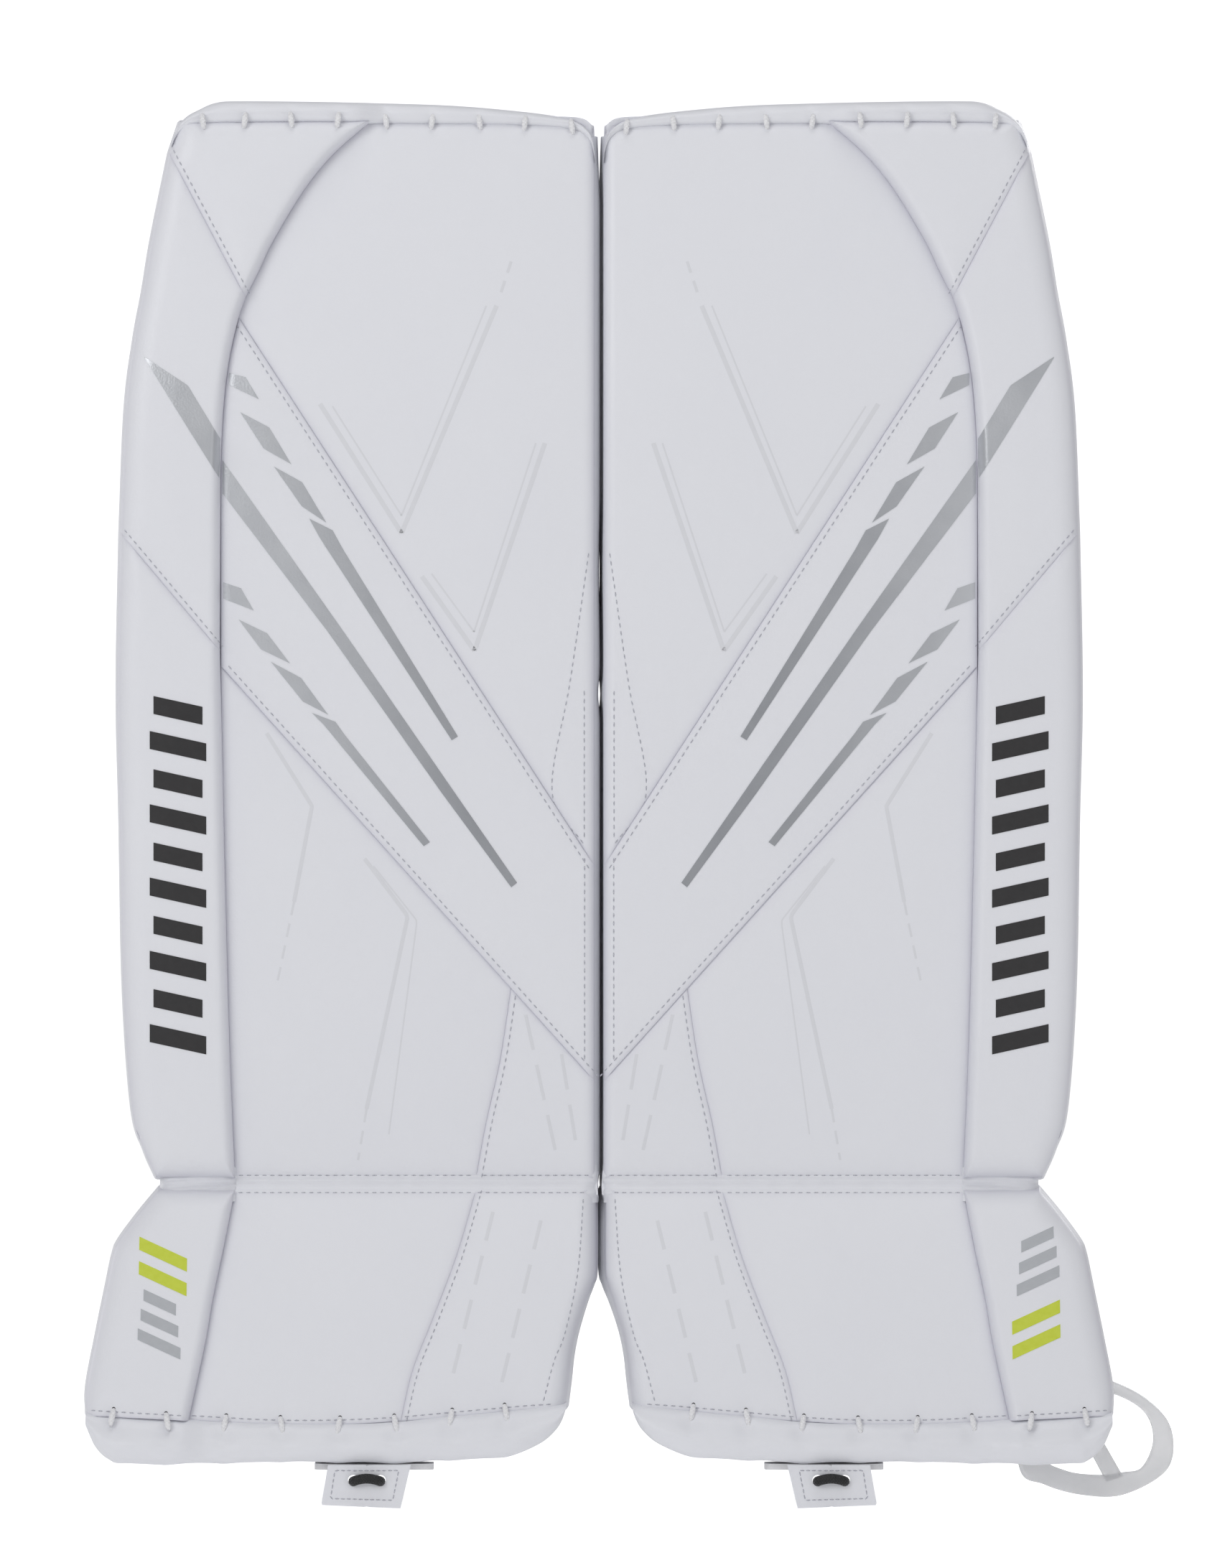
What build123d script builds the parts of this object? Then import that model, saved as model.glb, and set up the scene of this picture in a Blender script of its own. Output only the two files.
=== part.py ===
"""A pair of ice hockey goalie leg pads, one for each leg, in millimetres.

Each pad is a stiff foam shin board under a sewn white face, with a raised roll down its outer edge, a boot
section that folds at a stitched break, and, behind it, the leg channel: knee and calf blocks on the inner side,
two hinged wraps on the outer side and the straps that close them. The right pad is modelled on the +X side of
the plane between the pads, with its front towards -Y, and the left pad is its mirror image.
"""

import os
from math import cos, radians, sin, tan

from build123d import *

os.makedirs("parts", exist_ok=True)

# ---------------------------------------------------------------- driving dimensions
PAIR_X = -18.6  # the plane between the two pads, in the row frame
FACE_Y = -39.8  # the plane of the shin's front, in the row frame
INNER_X = 2.0  # inner edge of a pad, from the plane between the pads
BREAK_Z = 186.0  # height of the fold between shin and boot
BEND_Z = 610.0  # height where the thigh rise starts to lean back
BEND_R = 500.0  # radius of that bend
THIGH_LEAN = 7.0  # degrees
BOOT_TILT = 30.0  # degrees that the boot stands forward of the shin
PAD_TOP = 808.0  # seam between the face and the top roll
TOE_SEAM = 54.0  # seam between the boot and the toe roll
TOE_BOTTOM = 26.0
SKIN = 2.0  # synthetic leather with its backing
CORE_BACK = 44.0  # depth of the foam board's back, behind the face
PAD_BACK = CORE_BACK + SKIN
ROLL_RISE = 12.0  # how far the outer roll stands in front of the face
FIT = 0.4  # clearance between pieces that lie side by side
BACK_FIT = 0.3  # clearance between a block and the back that it is sewn to
REACH = 400.0  # longer than any extrusion needs

# Front outlines as (x, z), from the bottom up.
ROLL_EDGE = [(214, 190), (218.5, 350), (221.5, 500), (219.5, 640), (207, 705), (173, 768), (134, 808)]
OUTER_EDGE = [(262, 190), (273, 230), (279.5, 330), (281.5, 475), (278, 620), (266, 725), (250, 790)]
BOOT_INNER_EDGE = [(3, 210), (3, 150), (9, 103), (22, TOE_SEAM + FIT)]
BOOT_ROLL_EDGE = [(213, 210), (219, 150), (229, 97), (238, TOE_SEAM + FIT)]
BOOT_OUTER_EDGE = [(250, 194), (272, 166), (280, 150), (290, 108), (297, 72), (297.5, TOE_SEAM + FIT)]

# Leg channel.
BLOCK_X = 4.0  # inner side of the knee and calf blocks
CALF_BLOCK_W = 62.0
CALF_BLOCK_DEPTH = 150.0
KNEE_BLOCK_W = 66.0
KNEE_BLOCK_DEPTH = 165.0
LINER = 12.0  # thickness of the leg channel's lining cushion
LINER_X = (74.0, 196.0)
WRAP = 9.0  # thickness of the calf and knee wraps
WRAP_HINGE = (208.0, 53.0)  # (x, y) of the line that both wraps open about
STRAP = 2.5
PATCH = 1.5  # thickness of a hook patch
CALF_Z = (222.0, 450.0)
KNEE_Z = (478.0, 596.0)

# Boot strap.
SCREW_XZ = (220.0, 60.0)
SCREW_R = 3.0
FOLD_X = 242.0  # the line that the strap's loop folds back about
STRAP_DEPTH = (42.4, 45.4)  # front and back of the strap, behind the boot's face
STRAP_MID = 43.9
HINGE_GAP = 2.2  # from the strap's folding line to each piece beside it
STOWED = 95.0  # degrees that the left pad's strap is turned up behind its boot

LEAN = radians(THIGH_LEAN)
TILT = radians(BOOT_TILT)


def thigh_y(z, depth=0.0):
    """Depth of the straight part of the thigh rise at height z."""
    bend_top_z = BEND_Z + BEND_R * sin(LEAN)
    return BEND_R * (1 - cos(LEAN)) + (z - bend_top_z) * tan(LEAN) + depth / cos(LEAN)


def boot_point(down, depth):
    """A (y, z) point of the boot's side section: down its face from the break, then in behind the face."""
    return (-down * sin(TILT) + depth * cos(TILT), BREAK_Z - down * cos(TILT) - depth * sin(TILT))


def shifted(points, dx):
    return [(x + dx, z) for x, z in points]


# ---------------------------------------------------------------- shared shapes
def shin_depth(front, back):
    """Keeps what lies between two depths behind the face of the shin and the thigh rise."""
    with BuildSketch(Plane.YZ) as section:
        with BuildLine():
            edge = Line((front, 0), (front, BEND_Z))
            bend = JernArc(edge @ 1, (0, 1), BEND_R - front, -THIGH_LEAN)
            rise = PolarLine(bend @ 1, REACH, 90 - THIGH_LEAN)
            back_edge = Line((back, 0), (back, BEND_Z))
            back_bend = JernArc(back_edge @ 1, (0, 1), BEND_R - back, -THIGH_LEAN)
            back_rise = PolarLine(back_bend @ 1, REACH, 90 - THIGH_LEAN)
            Line(rise @ 1, back_rise @ 1)
            Line(edge @ 0, back_edge @ 0)
        make_face()
    extrude(section.sketch, amount=REACH, both=True, mode=Mode.INTERSECT)


def boot_depth(front, back, top=3.0):
    """Keeps what lies between two depths behind the boot's face, from just below the break."""
    corners = [boot_point(top, front), boot_point(top, back), boot_point(REACH, back), boot_point(REACH, front)]
    with BuildSketch(Plane.YZ) as section:
        with BuildLine():
            Polyline(*corners, close=True)
        make_face()
    extrude(section.sketch, amount=REACH, both=True, mode=Mode.INTERSECT)


def front_outline(*runs, mode=Mode.ADD):
    """Extrudes a front outline through the whole depth. A run of two points is straight, a longer one is smooth."""
    with BuildSketch(Plane.XZ) as outline:
        with BuildLine():
            for points in runs:
                if len(points) == 2:
                    Line(*points)
                else:
                    Spline(*points)
        make_face()
    extrude(outline.sketch, amount=REACH, both=True, mode=mode)


def front_polygon(*corners, mode=Mode.ADD):
    with BuildSketch(Plane.XZ) as outline:
        with BuildLine():
            Polyline(*corners, close=True)
        make_face()
    extrude(outline.sketch, amount=REACH, both=True, mode=mode)


def upright_block(x0, x1, y0, y1, z0, z1, corner=0.0):
    """A foam block whose two back edges, seen from the side, are cut by a corner chamfer."""
    with BuildSketch(Plane.YZ.offset(x0)) as section:
        with BuildLine():
            Polyline(
                (y0, z0), (y1 - corner, z0), (y1, z0 + corner), (y1, z1 - corner), (y1 - corner, z1), (y0, z1),
                close=True,
            )
        make_face()
    extrude(section.sketch, amount=x1 - x0)


def face_slab(front, back):
    """The whole face of the shin and the thigh rise, between two depths."""
    side = shifted(ROLL_EDGE, -FIT)
    left = INNER_X + SKIN + FIT
    front_outline(side, [side[-1], (left, PAD_TOP)], [(left, PAD_TOP), (left, 190)], [(left, 190), side[0]])
    shin_depth(front, back)


# ---------------------------------------------------------------- shin and thigh rise
def make_shin_core():
    with BuildPart() as core:
        face_slab(SKIN, CORE_BACK)
    return core


def make_back_cover():
    with BuildPart() as cover:
        face_slab(CORE_BACK, PAD_BACK)
    return cover


def make_face_panel(front, *zone):
    """One sewn panel of the face: the part of the face inside a zone given by its corners."""
    with BuildPart() as panel:
        face_slab(front, SKIN)
        front_polygon(*zone, mode=Mode.INTERSECT)
    return panel


def make_medial_edge_panel():
    """The wall on the inner edge, which slides on the ice."""
    with BuildPart() as wall:
        front_polygon((INNER_X, 190), (INNER_X + SKIN, 190), (INNER_X + SKIN, PAD_TOP), (INNER_X, PAD_TOP))
        shin_depth(0, PAD_BACK)
    return wall


def make_outer_roll():
    """The raised roll: its foam and the skin that wraps it."""
    corner = (232, PAD_TOP)
    with BuildPart() as roll:
        front_outline(
            ROLL_EDGE, [ROLL_EDGE[-1], corner], [corner, OUTER_EDGE[-1]], OUTER_EDGE, [OUTER_EDGE[0], ROLL_EDGE[0]]
        )
        shin_depth(-ROLL_RISE, PAD_BACK)
    return roll


def make_break_strip():
    """The strip of skin that joins the shin to the boot; only this flexes when the boot folds."""
    with BuildPart() as strip:
        front_polygon((4.4, 186.2), (213.5, 186.2), (213.5, 189.6), (4.4, 189.6))
        shin_depth(0.1, SKIN)
    return strip


def make_cap_part(front, *corners):
    with BuildPart() as part:
        front_polygon(*corners)
        shin_depth(front, PAD_BACK)
    return part


def make_top_roll():
    """The padded cap that is laced along the top edge, thicker where it crosses the outer roll."""
    base = PAD_TOP + FIT
    with BuildPart() as cap:
        add(make_cap_part(-1, (8, base), (150, base), (150, 819.5), (90, 818), (30, 815)).part)
        add(make_cap_part(-ROLL_RISE, (136, base), (240, base), (236, 814), (220, 819.5), (136, 819.2)).part)
    return cap


TOP_LACES = 8
TOP_LACE_PITCH = 27.4
TOP_LACE_X = 17.0
LACE_R = 1.2
LACE_L = 8.0


def make_top_lacing():
    """Short laces, side by side, that cross the seam between the face and the top roll."""
    y = thigh_y(PAD_TOP, -1 - LACE_R - 0.1)
    with BuildPart() as laces:
        for i in range(TOP_LACES):
            # The outermost laces cross onto the raised roll.
            rise = ROLL_RISE if TOP_LACE_X + i * TOP_LACE_PITCH > ROLL_EDGE[-1][0] - LACE_L else 0
            with Locations(Location((TOP_LACE_X + i * TOP_LACE_PITCH, y - rise, PAD_TOP), (-THIGH_LEAN, 0, 0))):
                Cylinder(LACE_R, LACE_L)
    return laces


# ---------------------------------------------------------------- boot
def boot_face_slab(front, back):
    inner, side = BOOT_INNER_EDGE, shifted(BOOT_ROLL_EDGE, -FIT)
    front_outline(inner, [inner[-1], side[-1]], side, [side[0], inner[0]])
    boot_depth(front, back)


BOOT_BACK = 42.0


def make_boot_core():
    with BuildPart() as core:
        boot_face_slab(SKIN, BOOT_BACK)
    return core


def make_boot_face_panel():
    with BuildPart() as panel:
        boot_face_slab(0, SKIN)
    return panel


def make_boot_roll():
    """The raised roll of the boot, with its top cut back so that the boot can fold."""
    inner, outer = BOOT_ROLL_EDGE, BOOT_OUTER_EDGE
    with BuildPart() as roll:
        front_outline(inner, [inner[0], outer[0]], outer, [outer[-1], inner[-1]])
        boot_depth(-ROLL_RISE, BOOT_BACK, top=9)
    return roll


TOE_FRONT = boot_point((BREAK_Z - TOE_SEAM) / cos(TILT), 0)[0]
TOE_BACK = TOE_FRONT + BOOT_BACK / cos(TILT)
TOE_LEAN = (TOE_SEAM - TOE_BOTTOM) * tan(TILT)


def make_toe_roll():
    """The padded roll under the toe, flat underneath."""
    with BuildPart() as roll:
        with BuildSketch(Plane.YZ):
            with BuildLine():
                seam = (TOE_FRONT, TOE_SEAM)
                heel = (TOE_BACK - TOE_LEAN, TOE_BOTTOM)
                nose = (TOE_FRONT - TOE_LEAN + 6, TOE_BOTTOM)
                ThreePointArc(seam, (TOE_FRONT - TOE_LEAN / 2 - 5, (TOE_SEAM + TOE_BOTTOM) / 2 + 1), nose)
                Polyline(nose, heel, (TOE_BACK, TOE_SEAM), seam)
            make_face()
        extrude(amount=REACH, both=True)
        front_polygon(
            (22, TOE_SEAM), (26, 44), (36, 34), (56, 28), (90, TOE_BOTTOM), (278, TOE_BOTTOM), (290, 31),
            (297, 44), (297.5, TOE_SEAM),
            mode=Mode.INTERSECT,
        )
    return roll


TOE_LACES = 8
TOE_LACE_PITCH = 33.0
TOE_LACE_X = 52.0


def make_toe_lacing():
    with BuildPart() as laces:
        for i in range(TOE_LACES):
            x = TOE_LACE_X + i * TOE_LACE_PITCH
            rise = ROLL_RISE if x > BOOT_ROLL_EDGE[-1][0] else 0
            y, z = boot_point((BREAK_Z - TOE_SEAM) / cos(TILT), -rise - LACE_R - 3.2)
            with Locations(Location((x, y, z), (-BOOT_TILT, 0, 0))):
                Cylinder(LACE_R, LACE_L)
    return laces


WING_W = 26.0
WING_X = (30.0, 162.0)  # inner sides of the two wings


def make_boot_wings():
    """Two foam bars behind the boot, between which the skate sits."""
    with BuildPart() as wings:
        for x in WING_X:
            front_polygon((x, 62), (x + WING_W, 62), (x + WING_W, 158), (x, 158))
        boot_depth(BOOT_BACK + BACK_FIT, BOOT_BACK + 36)
    return wings


BRIDGE_X = (96.0, 165.0)
BRIDGE_T = 3.5
BRIDGE_FRONT = -79.0


def make_toe_bridge():
    """The stiff plate under the toe that carries the toe tab."""
    with BuildPart() as bridge:
        with Locations((sum(BRIDGE_X) / 2, (BRIDGE_FRONT - 48) / 2, TOE_BOTTOM - 0.2 - BRIDGE_T / 2)):
            Box(BRIDGE_X[1] - BRIDGE_X[0], -48 - BRIDGE_FRONT, BRIDGE_T)
        fillet(bridge.edges().filter_by(Axis.Z), 6)
    return bridge


TAB_T = 3.0
TAB_Y = -85.5
TAB_TOP = 24.6
TAB_HINGE_Z = 24.0
TIE_X = 134.5
TIE_Z = 16.5
TIE_R = 2.4
TIE_HOLE_R = 3.0
TIE_HALF = 7.8  # half the distance between the tab's two holes


def make_toe_tab():
    """The sewn tab below the toe, slightly slanted, with two holes for the toe tie."""
    with BuildPart() as tab:
        with BuildSketch(Plane.XZ.offset(-TAB_Y)):
            with BuildLine():
                Polyline((109, TAB_TOP), (157, TAB_TOP), (161, 2), (115, 0), close=True)
            make_face()
            with Locations((TIE_X - TIE_HALF, TIE_Z), (TIE_X + TIE_HALF, TIE_Z)):
                Circle(TIE_HOLE_R, mode=Mode.SUBTRACT)
        extrude(amount=TAB_T / 2, both=True)
    return tab


def make_toe_tie():
    """The elastic toe tie: a short closed loop through both holes, round the bar of the tab between them."""
    left, right, front, back = TIE_X - TIE_HALF, TIE_X + TIE_HALF, TAB_Y - 4.8, TAB_Y + 5.4
    with BuildPart() as tie:
        with BuildLine(Plane.XY.offset(TIE_Z)) as route:
            FilletPolyline((left, front), (right, front), (right, back), (left, back), radius=5, close=True)
        with BuildSketch(Plane(route.line @ 0, z_dir=route.line % 0)):
            Circle(TIE_R)
        sweep(path=route.wires()[0])
    return tie


# ---------------------------------------------------------------- leg channel
def make_leg_liner():
    """The soft lining behind the shin and the knee: two cushions with a gap between them."""
    with BuildPart() as liner:
        for z0, z1 in (CALF_Z, KNEE_Z):
            upright_block(*LINER_X, PAD_BACK + BACK_FIT, PAD_BACK + LINER, z0 - 12, z1 + 6, 4)
    return liner


def make_calf_block():
    with BuildPart() as block:
        upright_block(BLOCK_X, BLOCK_X + CALF_BLOCK_W, PAD_BACK + BACK_FIT, CALF_BLOCK_DEPTH, 214, 468, 26)
        fillet(block.edges().filter_by(Axis.Z).group_by(Axis.Y)[-1], 9)
    return block


def make_knee_block():
    """The stack of foam layers that the knee lands on."""
    with BuildPart() as block:
        upright_block(BLOCK_X, BLOCK_X + KNEE_BLOCK_W, PAD_BACK + BACK_FIT, KNEE_BLOCK_DEPTH, *KNEE_Z, 18)
        fillet(block.edges().filter_by(Axis.Z).group_by(Axis.Y)[-1], 8)
    return block


def make_hook_patches():
    """The hook patches on the calf block, on the knee block and on the back of the thigh rise."""
    with BuildPart() as patches:
        for depth, z0, z1 in ((CALF_BLOCK_DEPTH, 290, 400), (KNEE_BLOCK_DEPTH, 504, 572)):
            with Locations((36, depth + PATCH / 2 + 0.05, (z0 + z1) / 2)):
                Box(42, PATCH, z1 - z0)
    with BuildPart() as thigh_patch:
        front_polygon((60, 700), (180, 700), (180, 780), (60, 780))
        shin_depth(PAD_BACK + 0.05, PAD_BACK + PATCH)
    with BuildPart() as all_patches:
        add(patches.part)
        add(thigh_patch.part)
    return all_patches


def bent_strip(thickness, z0, z1, *points):
    """A strip seen from above as a smooth line through the points, extruded upwards."""
    with BuildSketch(Plane.XY.offset(z0)) as strip:
        with BuildLine():
            Spline(*points)
        trace(line_width=thickness)
    extrude(strip.sketch, amount=z1 - z0)


def make_wrap(z0, z1, depth):
    """An outer wrap: from its hinge line it runs back beside the leg, then turns in behind it."""
    x, y = WRAP_HINGE
    with BuildPart() as wrap:
        bent_strip(WRAP, z0, z1, (x, y - 2.5), (x + 3, y + 0.5 * (depth - y)), (x - 18, depth - 12), (x - 58, depth))
    return wrap


def make_strap(z0, z1, depth, block_depth):
    """A flat strap from the wrap's free end to the hook patch on the block."""
    near = depth + WRAP / 2 + BACK_FIT + STRAP / 2 + 1.0
    far = block_depth + PATCH + BACK_FIT + STRAP / 2 + 0.2
    with BuildPart() as strap:
        with BuildSketch(Plane.XY.offset(z0)):
            with BuildLine():
                FilletPolyline((164, near), (128, near), (62, far), (14, far), radius=30)
            trace(line_width=STRAP)
        extrude(amount=z1 - z0)
    return strap


# ---------------------------------------------------------------- boot strap
def strap_plane(x, z, depth):
    """A plane on the boot's back, facing away from it."""
    down = (BREAK_Z - z - STRAP_MID * sin(TILT)) / cos(TILT)
    return Plane((x, *boot_point(down, depth)), x_dir=(1, 0, 0), z_dir=(0, cos(TILT), -sin(TILT)))


def make_strap_screw():
    """The screw that holds the strap to the boot, with its wide head behind the strap."""
    with BuildPart() as screw:
        with BuildSketch(strap_plane(*SCREW_XZ, BOOT_BACK + 0.1)):
            Circle(SCREW_R)
        extrude(amount=STRAP_DEPTH[1] - BOOT_BACK + 0.4)
        with BuildSketch(strap_plane(*SCREW_XZ, STRAP_DEPTH[1] + 0.3)):
            Circle(8)
        extrude(amount=2.2, taper=35)
    return screw


def make_strap_root():
    """The end of the moulded strap that turns on the screw."""
    x, z = SCREW_XZ
    edge = FOLD_X - HINGE_GAP
    with BuildPart() as root:
        front_outline([(edge, z + 16), (x - 4, z + 13.5), (x - 14, z), (x - 4, z - 13.5), (edge, z - 22)],
                      [(edge, z - 22), (edge, z + 16)])
        boot_depth(*STRAP_DEPTH)
        with BuildSketch(strap_plane(x, z, STRAP_DEPTH[0] - 1)) as bore:
            Circle(SCREW_R + 0.25)
        extrude(bore.sketch, amount=6, mode=Mode.SUBTRACT)
    return root


def make_boot_strap():
    """The moulded loop that passes behind the skate, flat, with a cross strap that divides its opening."""
    start = FOLD_X + HINGE_GAP
    with BuildPart() as strap:
        front_outline(
            [(start, 76), (270, 78), (298, 72), (320.5, 60.5), (333.5, 44), (331, 21.5), (306, 7), (282, 6.4),
             (259, 12.4), (start, 23)],
            [(start, 23), (start, 76)],
        )
        front_outline(
            [(272, 67), (298, 64.5), (317.5, 54), (322.7, 38), (316, 22.5), (305, 19.5)],
            [(305, 19.5), (272, 67)],
            mode=Mode.SUBTRACT,
        )
        front_outline(
            [(289.5, 18), (271, 20.6), (259, 25.5), (256, 40), (257, 63)],
            [(257, 63), (289.5, 18)],
            mode=Mode.SUBTRACT,
        )
        boot_depth(*STRAP_DEPTH)
    return strap


# ---------------------------------------------------------------- assembly
UPPER_SEAM = ((-10, 359), (240, 743))  # seam between the upper panel and the band
LOWER_SEAM = ((-10, 233), (240, 510))  # seam between the band and the lower panel
PIECES = {
    "shin_core": make_shin_core(),
    "back_cover": make_back_cover(),
    "upper_face_panel": make_face_panel(0, UPPER_SEAM[0], UPPER_SEAM[1], (240, 900), (-10, 900)),
    "band_panel": make_face_panel(-1.2, LOWER_SEAM[0], LOWER_SEAM[1], UPPER_SEAM[1], UPPER_SEAM[0]),
    "lower_face_panel": make_face_panel(0, (-10, 100), (240, 100), LOWER_SEAM[1], LOWER_SEAM[0]),
    "medial_edge_panel": make_medial_edge_panel(),
    "outer_roll": make_outer_roll(),
    "break_strip": make_break_strip(),
    "top_roll": make_top_roll(),
    "top_lacing": make_top_lacing(),
    "leg_liner": make_leg_liner(),
    "calf_block": make_calf_block(),
    "knee_block": make_knee_block(),
    "hook_patches": make_hook_patches(),
    "calf_wrap": make_wrap(*CALF_Z, CALF_BLOCK_DEPTH),
    "calf_strap": make_strap(310, 380, CALF_BLOCK_DEPTH, CALF_BLOCK_DEPTH),
    "knee_wrap": make_wrap(*KNEE_Z, KNEE_BLOCK_DEPTH),
    "knee_strap": make_strap(512, 564, KNEE_BLOCK_DEPTH, KNEE_BLOCK_DEPTH),
    "boot_core": make_boot_core(),
    "boot_face_panel": make_boot_face_panel(),
    "boot_roll": make_boot_roll(),
    "toe_roll": make_toe_roll(),
    "toe_lacing": make_toe_lacing(),
    "boot_wings": make_boot_wings(),
    "toe_bridge": make_toe_bridge(),
    "toe_tab": make_toe_tab(),
    "toe_tie": make_toe_tie(),
    "strap_screw": make_strap_screw(),
    "strap_root": make_strap_root(),
    "boot_strap": make_boot_strap(),
}

LEFT_SCREW = strap_plane(-SCREW_XZ[0], SCREW_XZ[1], STRAP_MID)

for name, piece in PIECES.items():
    left = mirror(piece.part, about=Plane.YZ)
    if name in ("strap_root", "boot_strap"):
        left = left.rotate(Axis(LEFT_SCREW.origin, LEFT_SCREW.z_dir), STOWED)
    for side, shape in (("right", piece.part), ("left", left)):
        placed = shape.moved(Location((PAIR_X, FACE_Y, 0)))
        placed.label = f"{side}_{name}"
        export_step(placed, f"parts/{side}_{name}.step")
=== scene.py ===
"""Looks of a pair of ice hockey goalie leg pads: sewn white skins over foam, silver inlays, laces and straps.

Shapes are worked out in millimetres for the right pad, with x from the plane between the two pads, z up from the
toe tabs' lower edges and depth from the plane of the shin's front. The left pad is the mirror image. place() turns
millimetres into the frame's metres.
"""

from math import cos, pi, radians, sin, tan

import bpy
import numpy as np
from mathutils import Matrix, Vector


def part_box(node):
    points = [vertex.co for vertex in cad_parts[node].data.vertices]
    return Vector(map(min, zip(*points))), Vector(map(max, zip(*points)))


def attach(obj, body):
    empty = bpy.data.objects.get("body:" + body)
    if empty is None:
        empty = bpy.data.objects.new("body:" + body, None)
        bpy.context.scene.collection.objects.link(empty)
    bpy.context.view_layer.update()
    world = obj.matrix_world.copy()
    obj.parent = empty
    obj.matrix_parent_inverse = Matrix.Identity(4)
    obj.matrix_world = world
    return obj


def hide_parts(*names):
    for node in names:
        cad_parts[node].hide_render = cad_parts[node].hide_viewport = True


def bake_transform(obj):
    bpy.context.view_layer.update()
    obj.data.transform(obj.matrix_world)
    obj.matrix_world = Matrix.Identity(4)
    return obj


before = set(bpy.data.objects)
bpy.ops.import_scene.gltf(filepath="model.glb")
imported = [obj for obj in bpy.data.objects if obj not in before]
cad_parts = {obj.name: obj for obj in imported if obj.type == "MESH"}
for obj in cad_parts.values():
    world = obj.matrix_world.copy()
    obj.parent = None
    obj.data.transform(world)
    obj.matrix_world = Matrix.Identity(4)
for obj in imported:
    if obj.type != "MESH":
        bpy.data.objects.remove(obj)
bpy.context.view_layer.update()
MM = 0.001
SIDES = {"right": 1, "left": -1}

# ---------------------------------------------------------------- where the pads stand in the frame
PAIR_X = (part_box("left_shin_core")[0][0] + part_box("right_shin_core")[1][0]) / 2
FACE_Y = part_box("right_lower_face_panel")[0][1]

BREAK_Z = 186.0  # fold between shin and boot
BEND_Z, BEND_R, LEAN = 610.0, 500.0, radians(7)  # the bend of the thigh rise
TILT = radians(30)  # the boot stands forward of the shin
ROLL_RISE = 12.0
PAD_BACK = 46.0
BOOT_BACK = 42.0 / cos(TILT)
BEND_TOP = BEND_Z + BEND_R * sin(LEAN)

# The inner walls' lean into each other: first depth, wave length, fading width, and its reach above and below the
# break. It is less at some heights, given with a width and a share.
WALL_DEPTH, WALL_WAVE, WALL_FADE, WALL_REACH = 6.0, 38.0, 7.0, (1.5, 1.1)
WALL_REST = ((473.0, 9.0, 0.75), (545.0, 30.0, 0.5))


def bell(x, centre, width):
    """One at the centre, falling away as a bell curve."""
    return np.exp(-(((x - centre) / width) ** 2))


def quarter(t):
    """A quarter round that climbs steeply from 0 and flattens out at 1, as t goes from 0 to 1."""
    return np.sqrt(1 - (1 - np.clip(t, 0, 1)) ** 2)


def front_plane(z):
    """Depth of the pad's front at height z: zero on the shin; above the bend, an arc and then a straight lean
    back; below the break, a straight slope forward."""
    z = np.asarray(z, float)
    rise = np.clip((z - BEND_Z) / BEND_R, 0, sin(LEAN))
    arc = BEND_R * (1 - np.sqrt(1 - rise**2))
    return arc + np.maximum(z - BEND_TOP, 0) * tan(LEAN) - np.maximum(BREAK_Z - z, 0) * tan(TILT)


def place(points, side=1):
    """Metres in the frame from millimetres on the right pad, mirrored where side is -1. Behind the front, the two
    pads' inner walls lean into each other: both shift the same way, by a slow sine of depth that fades over a
    centimetre from the plane between them."""
    p = np.asarray(points, float)
    x, y, z = side * p[..., 0], p[..., 1], p[..., 2]
    waves = np.clip((y - front_plane(z) - WALL_DEPTH) / WALL_WAVE, 0, 4)
    share = 1 - sum(less * bell(z, height, width) for height, width, less in WALL_REST)
    reach = np.where(z > BREAK_Z, *WALL_REACH) * share * np.clip((800 - z) / 40, 0, 1)
    x = x + reach * np.sin(2 * pi * waves) * bell(np.abs(x), 0, WALL_FADE)
    return np.stack([x * MM + PAIR_X, y * MM + FACE_Y, z * MM], axis=-1)


# ---------------------------------------------------------------- curves and grids
def unit(vectors):
    return vectors / np.maximum(np.linalg.norm(vectors, axis=-1, keepdims=True), 1e-9)


def left_of(line):
    """Unit vectors square to a flat line, to its left."""
    along = unit(np.gradient(line, axis=0))
    return np.stack([-along[:, 1], along[:, 0]], axis=-1)


def catmull_rom(a, b, c, d, t):
    """The smooth curve from b to c that heads away from a and towards d."""
    return 0.5 * (2 * b + (c - a) * t + (2 * a - 5 * b + 4 * c - d) * t**2 + (3 * b - a - 3 * c + d) * t**3)


def lengths(path):
    """How far along a path each of its points is."""
    return np.r_[0, np.cumsum(np.linalg.norm(np.diff(path, axis=0), axis=1))]


def read_off(at, along, path):
    """Points of a path at given places, where `along` holds the places of its own points."""
    return np.stack([np.interp(at, along, column) for column in path.T], axis=-1)


def curve(points, at, kinked=False):
    """Points at the fractions `at` of the length of a line through the given points: a Catmull-Rom curve, or
    straight runs where it is kinked or has two points."""
    p = np.asarray(points, float)
    if len(p) > 2 and not kinked:
        ends = np.vstack([2 * p[0] - p[1], p, 2 * p[-1] - p[-2]])
        knots = (ends[i : len(ends) - 3 + i, None] for i in range(4))
        t = np.linspace(0, 1, 14, endpoint=False)[None, :, None]
        p = np.vstack([catmull_rom(*knots, t).reshape(-1, p.shape[1]), p[-1]])
    along = lengths(p)
    return read_off(np.asarray(at) * along[-1], along, p)


def run_length(points, kinked=False):
    return np.linalg.norm(np.diff(curve(points, np.linspace(0, 1, 60), kinked), axis=0), axis=1).sum()


ROUND = np.array([0, 0.03, 0.09, 0.18, 0.3, 0.45, 0.62, 0.8, 1.0])


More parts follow.
